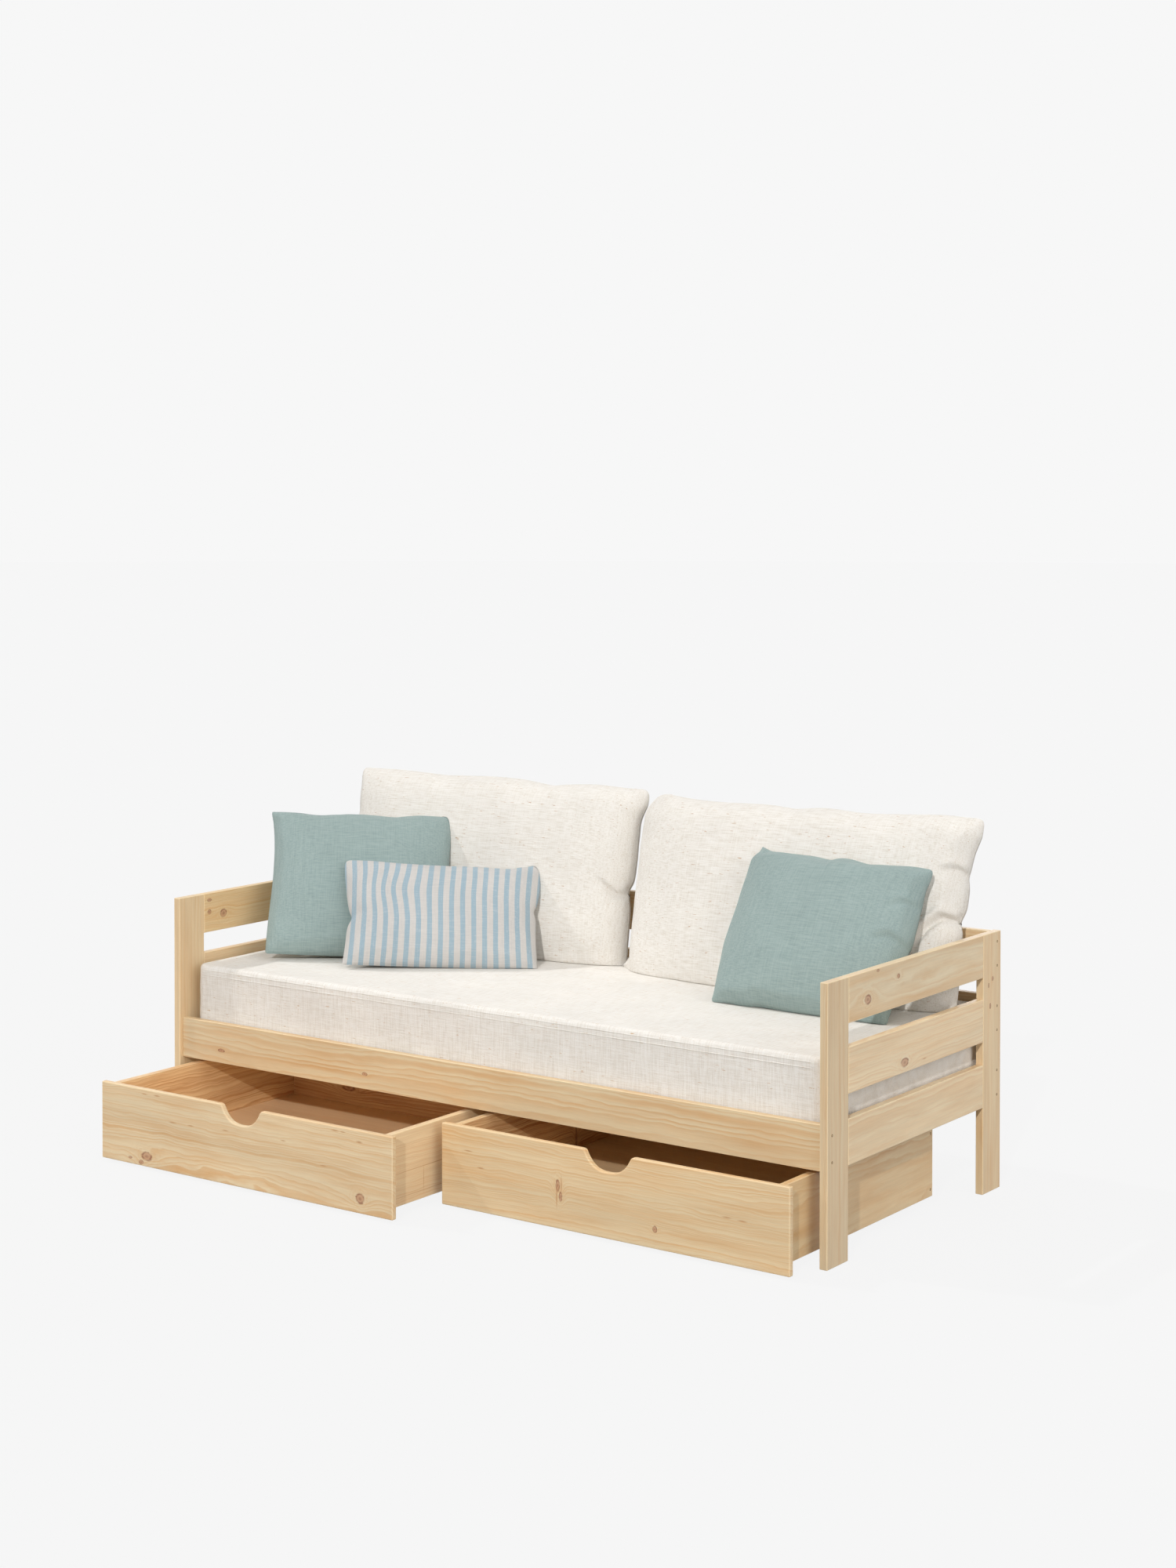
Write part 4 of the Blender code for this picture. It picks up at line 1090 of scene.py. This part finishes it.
BACK_FORM = {
    "box": 3.8, "foot": 9.0, "start": 0.97, "quad": 0.0092, "pressure": 3.0, "proud": 0.024,
    "bottom": [(-1, 0), (1, 0)],
}
LEFT_BACK_FORM = {
    **BACK_FORM,
    "corners": (20, 20, 16, 26),
    "left": [
        (-1, -8), (-0.5, -10), (0, -14), (0.44, -14), (0.57, -9), (0.67, -6), (0.8, -2),
        (0.91, 2), (1, 4),
    ],
    "right": [
        (-1, 2), (-0.84, -7), (-0.42, -16), (-0.3, -22), (-0.17, -30), (-0.1, -20), (0, -17),
        (0.18, -17), (0.39, -20), (0.61, -21), (0.72, -14), (0.79, -7), (0.9, -5), (1, -4),
    ],
    "top": [
        (-1, 1), (-0.88, 2), (-0.76, 3), (-0.57, 0.5), (-0.4, -3), (-0.26, -1), (-0.05, 2.5),
        (0.12, 1), (0.21, -3), (0.36, -11), (0.45, -6), (0.6, -0.5), (0.7, -0.5), (0.85, -4),
        (1, -4),
    ],
}
RIGHT_BACK_FORM = {
    **BACK_FORM,
    "corners": (20, 24, 46, 20),
    "left": [
        (-1, -18), (-0.92, -16), (-0.52, -2), (-0.14, 9), (0.16, 15), (0.41, 21), (0.63, 25),
        (0.74, 26), (0.84, 18), (0.92, 12), (1, 10),
    ],
    "right": [
        (-1, 10), (-0.6, 2), (-0.35, -6), (-0.19, -8), (-0.09, -17), (0.02, -8), (0.17, -6),
        (0.3, -9), (0.38, -15), (0.46, -11), (0.6, -8), (0.72, -1), (0.81, 5), (0.94, 6), (1, 6),
    ],
    "top": [
        (-1, -2), (-0.91, -4), (-0.76, -10), (-0.55, -12), (-0.4, -10), (-0.24, -9), (-0.09, -13.5),
        (-0.03, -11.5), (0.05, -6), (0.13, -5), (0.33, -9.5), (0.57, -3.5), (0.78, 3), (0.92, 1),
        (1, 1),
    ],
}
SQUARE_FORM = {
    "box": 3.0, "foot": 3.0, "start": 0.97, "quad": 0.0075, "pressure": 3.0, "proud": 0.016,
    "bottom": [(-1, 0), (1, 0)],
}
LEFT_SQUARE_FORM = {
    **SQUARE_FORM,
    "corners": (8, 8, 0, 20),
    "left": [
        (-1, 3), (-0.79, 3), (-0.5, 1), (-0.31, -1), (-0.05, -4), (0.21, -5), (0.52, -3.5),
        (0.82, 2.5), (0.93, 7), (1, 9),
    ],
    "right": [(-1, 3), (0, 4), (0.36, 5), (0.65, 9), (0.88, 10), (1, 10)],
    "top": [
        (-1, -1), (-0.87, -1), (-0.71, -3), (-0.5, -9), (-0.28, -6), (-0.1, -2.5), (0.12, -4),
        (0.36, -8), (0.52, -3), (0.64, 1), (0.89, 1), (1, 1),
    ],
}
RIGHT_SQUARE_FORM = {
    **SQUARE_FORM,
    "corners": (10, 10, 0, 16),
    "left": [
        (-1, -4), (-0.89, -4), (-0.62, 3), (-0.18, 15), (0.2, 18), (0.52, 17), (0.75, 21),
        (0.84, 16), (0.93, 3), (1, 0),
    ],
    "right": [(-1, 2), (-0.1, 2), (0, 5), (0.17, 3), (0.45, 0), (0.7, -3), (0.86, 1), (1, 1)],
    "top": [
        (-1, 8), (-0.95, 3), (-0.87, -3), (-0.69, -5.5), (-0.55, -7), (-0.32, -8.5), (-0.11, -13.5),
        (-0.04, -7), (0.08, -5.5), (0.31, -16), (0.45, -14), (0.58, -11.5), (0.79, -8), (0.94, -9),
        (1, -9),
    ],
    "bottom": [(-1, 3), (-0.79, 1.5), (-0.56, 4), (-0.43, -1), (-0.11, 3), (0.06, 5), (1, 5)],
}
LUMBAR_FORM = {
    **SQUARE_FORM,
    "box": 2.8,
    "foot": 2.8,
    "corners": (4, 4, 18, 20),
    "left": [
        (-1, -5), (-0.61, -10), (-0.35, -12), (-0.25, -15), (-0.11, -24), (0.02, -16), (0.22, -9.5),
        (0.49, -3), (0.75, 2.5), (0.94, 4), (1, 4),
    ],
    "right": [
        (-1, -1), (-0.72, -3), (-0.41, -5), (-0.1, -5.5), (0.02, -8), (0.1, -12), (0.18, -6),
        (0.32, 0), (0.53, 5), (0.8, 6.5), (1, 6),
    ],
    "top": [
        (-1, 7), (-0.94, 7), (-0.72, 6), (-0.44, 0), (-0.03, -5.5), (0.39, -6.5), (0.67, -8),
        (0.81, -2), (0.92, 3), (1, 3),
    ],
    "bottom": [(-1, 2), (0, 3), (1, 4)],
}

# The mattress and the back cushions have the same linen: the cushions' copy is darker, painted
# shade, and the mattress's copy paler, painted light.
CUSHION_LINEN_DARKER = {
    "tone": srgb(229, 224, 216), "dark": srgb(198, 187, 170), "light": srgb(243, 240, 236),
    "slub": 0.45, "thread": 0.0016, "warp_share": 0.5, "flecks": srgb(180, 136, 88),
}
MATTRESS_LINEN_PALER = {
    "tone": srgb(236, 231, 223), "dark": srgb(212, 202, 188), "light": srgb(249, 247, 243),
    "slub": 0.38, "thread": 0.0016, "warp_share": 1.2, "flecks": srgb(200, 164, 120),
}
TEAL = {
    "tone": srgb(149, 166, 163), "dark": srgb(119, 140, 137), "light": srgb(169, 184, 180),
    "slub": 0.4, "thread": 0.0012, "warp_share": 0.7,
}
STRIPED = {
    "tone": None, "dark": srgb(170, 174, 180), "light": srgb(222, 217, 213),
    "slub": 0.22, "thread": 0.0011, "warp_share": 0.7, "stripes": lumbar_stripes,
}


def build_soft_goods():
    """From the mattress up: each cushion is pressed clear of what lies behind it."""
    walls = [tree_of(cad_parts[node]) for node in (
        "back_top_rail", "back_middle_rail", "back_low_rail", "back_left_post", "back_right_post",
        "left_end_top_rail", "left_end_middle_rail", "right_end_top_rail", "right_end_middle_rail",
    )]
    bed = tree_of(mattress_cover("mattress", MATTRESS_LINEN_PALER))
    left_back = cushion_cover(
        "left_back_cushion", (4.0, 16.0, 0.0), CUSHION_LINEN_DARKER, LEFT_BACK_FORM, seed=1.0,
        folds=[([(1.02, -0.20), (0.9, -0.24), (0.79, -0.08)], 0.014, 0.024)], behind=[bed, *walls],
    )
    right_back = cushion_cover(
        "right_back_cushion", (0.0, 19.5, 0.0), CUSHION_LINEN_DARKER, RIGHT_BACK_FORM,
        seed=2.0,
        folds=[
            ([(1.02, 0.36), (0.93, 0.42), (0.86, 0.38)], 0.014, 0.019),
            ([(1.02, -0.11), (0.9, -0.09), (0.84, -0.22), (0.79, -0.44)], 0.015, 0.025),
        ],
        behind=[bed, *walls, tree_of(left_back)],
    )
    backs = [bed, *walls, tree_of(left_back), tree_of(right_back)]
    left_square = cushion_cover(
        "left_square_cushion", (41.0, 34.5, 2.8), TEAL, LEFT_SQUARE_FORM,
        seed=3.0, behind=backs,
    )
    cushion_cover(
        "right_square_cushion", (1.5, 36.0, 0.5), TEAL, RIGHT_SQUARE_FORM,
        seed=4.0,
        folds=[
            ([(1.02, 0.42), (0.84, 0.42), (0.74, 0.30)], 0.030, 0.008),
            ([(1.02, -0.10), (0.82, -0.02), (0.66, -0.12)], 0.035, 0.010),
        ],
        behind=backs,
    )
    cushion_cover(
        "striped_lumbar_cushion", (38.5, 37.5, 2.0), STRIPED, LUMBAR_FORM,
        seed=5.0,
        folds=[
            ([(-1.02, -0.11), (-0.9, -0.08)], 0.025, 0.008),
            ([(1.02, 0.1), (0.92, 0.08)], 0.025, 0.008),
            ([(-0.6, 0.62), (-0.46, 0.1)], 0.03, 0.004),
        ],
        behind=[*backs, tree_of(left_square)],
    )


# ---- screws

SCREW_RADIUS, SCREW_TURN, SCREW_SHANK = 0.0032, 24, 0.0012
SCREW_SLOT_WIDTH, SCREW_SLOT_DEPTH, SCREW_SLOT_REACH = 0.0011, 0.0007, 0.62

# Rings of the domed head: share of its radius, and height in millimetres
SCREW_DOME = ((1.0, 0.0), (0.97, 0.18), (0.8, 0.34), (0.52, 0.46), (0.24, 0.5))
FRONT_SCREW_INSET, BACK_SCREW_INSET, DRAWER_SCREW_INSET = 0.0210, 0.0195, 0.0110
FRONT_POST_SCREW_LEVELS = (0.2968, 0.2366)
BACK_POST_SCREW_LEVELS = (0.6135, 0.5539, 0.4539, 0.3942, 0.2947, 0.2342)
DRAWER_SCREW_LEVELS = (0.0445, 0.1800)


def screw_head(name, place, side, body, material):
    """A small domed head with a cross recess, seen from the given side along X."""
    shape = bmesh.new()
    loops = []
    for share, height in SCREW_DOME:
        loop = []
        for step in range(SCREW_TURN):
            angle = 2 * math.pi * step / SCREW_TURN
            y, z = math.cos(angle) * share * SCREW_RADIUS, math.sin(angle) * share * SCREW_RADIUS
            near, far = sorted((abs(y), abs(z)))
            in_slot = near < SCREW_SLOT_WIDTH / 2 and far < SCREW_SLOT_REACH * SCREW_RADIUS
            x = height * MM - (SCREW_SLOT_DEPTH if in_slot else 0)
            loop.append(shape.verts.new((side * x, y, z)))
        loops.append(loop)
    for outer, inner in zip(loops, loops[1:]):
        bridge(shape, outer, inner, side)
    shape.faces.new(loops[-1][::side])
    sunk = Vector((side * SCREW_SHANK, 0, 0))
    rim = [shape.verts.new(vertex.co - sunk) for vertex in loops[0]]
    bridge(shape, rim, loops[0], side)
    shape.faces.new(rim[::-side])
    head = add_mesh(name, shape, material)
    head.data.shade_smooth()
    head.location = place
    bpy.context.view_layer.update()
    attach(head, body)


def add_screws(material):
    """Rows of screws up the outer faces of the posts and of the drawers' sides."""
    for word, side in (("left", -1), ("right", 1)):
        for end, levels in (("front", FRONT_POST_SCREW_LEVELS), ("back", BACK_POST_SCREW_LEVELS)):
            low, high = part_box(f"{end}_{word}_post")
            x = low.x if side < 0 else high.x
            y = low.y + FRONT_SCREW_INSET if end == "front" else high.y - BACK_SCREW_INSET
            for number, level in enumerate(levels, 1):
                name = f"{end}_{word}_post_screw_{number}"
                screw_head(name, (x, y, level), side, "frame", material)
        for drawer in ("left", "right"):
            low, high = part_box(f"{drawer}_drawer_{word}_side")
            x = low.x if side < 0 else high.x
            for number, level in enumerate(DRAWER_SCREW_LEVELS, 1):
                name = f"{drawer}_drawer_{word}_side_screw_{number}"
                place = (x, high.y - DRAWER_SCREW_INSET, level)
                screw_head(name, place, side, f"{drawer}_drawer", material)


# ---- making

add_camera()
add_world()
add_floor()
for name, sun in SUNS.items():
    add_sun(name, **sun)

for node, look in LOOKS.items():
    dress(node, wood(node, **look))
zinc = metal("zinc", srgb(176, 178, 182), 0.34)
moulded = plastic()
for word in ("left", "right"):
    for corner in ("front_left", "front_right", "back_left", "back_right"):
        dress(f"{word}_drawer_{corner}_bracket", zinc)
        dress(f"{word}_drawer_{corner}_wheel", moulded)

add_screws(metal("screw_zinc", srgb(128, 100, 70), 0.45))
build_soft_goods()

scene = bpy.context.scene
scene.view_settings.view_transform = "Standard"
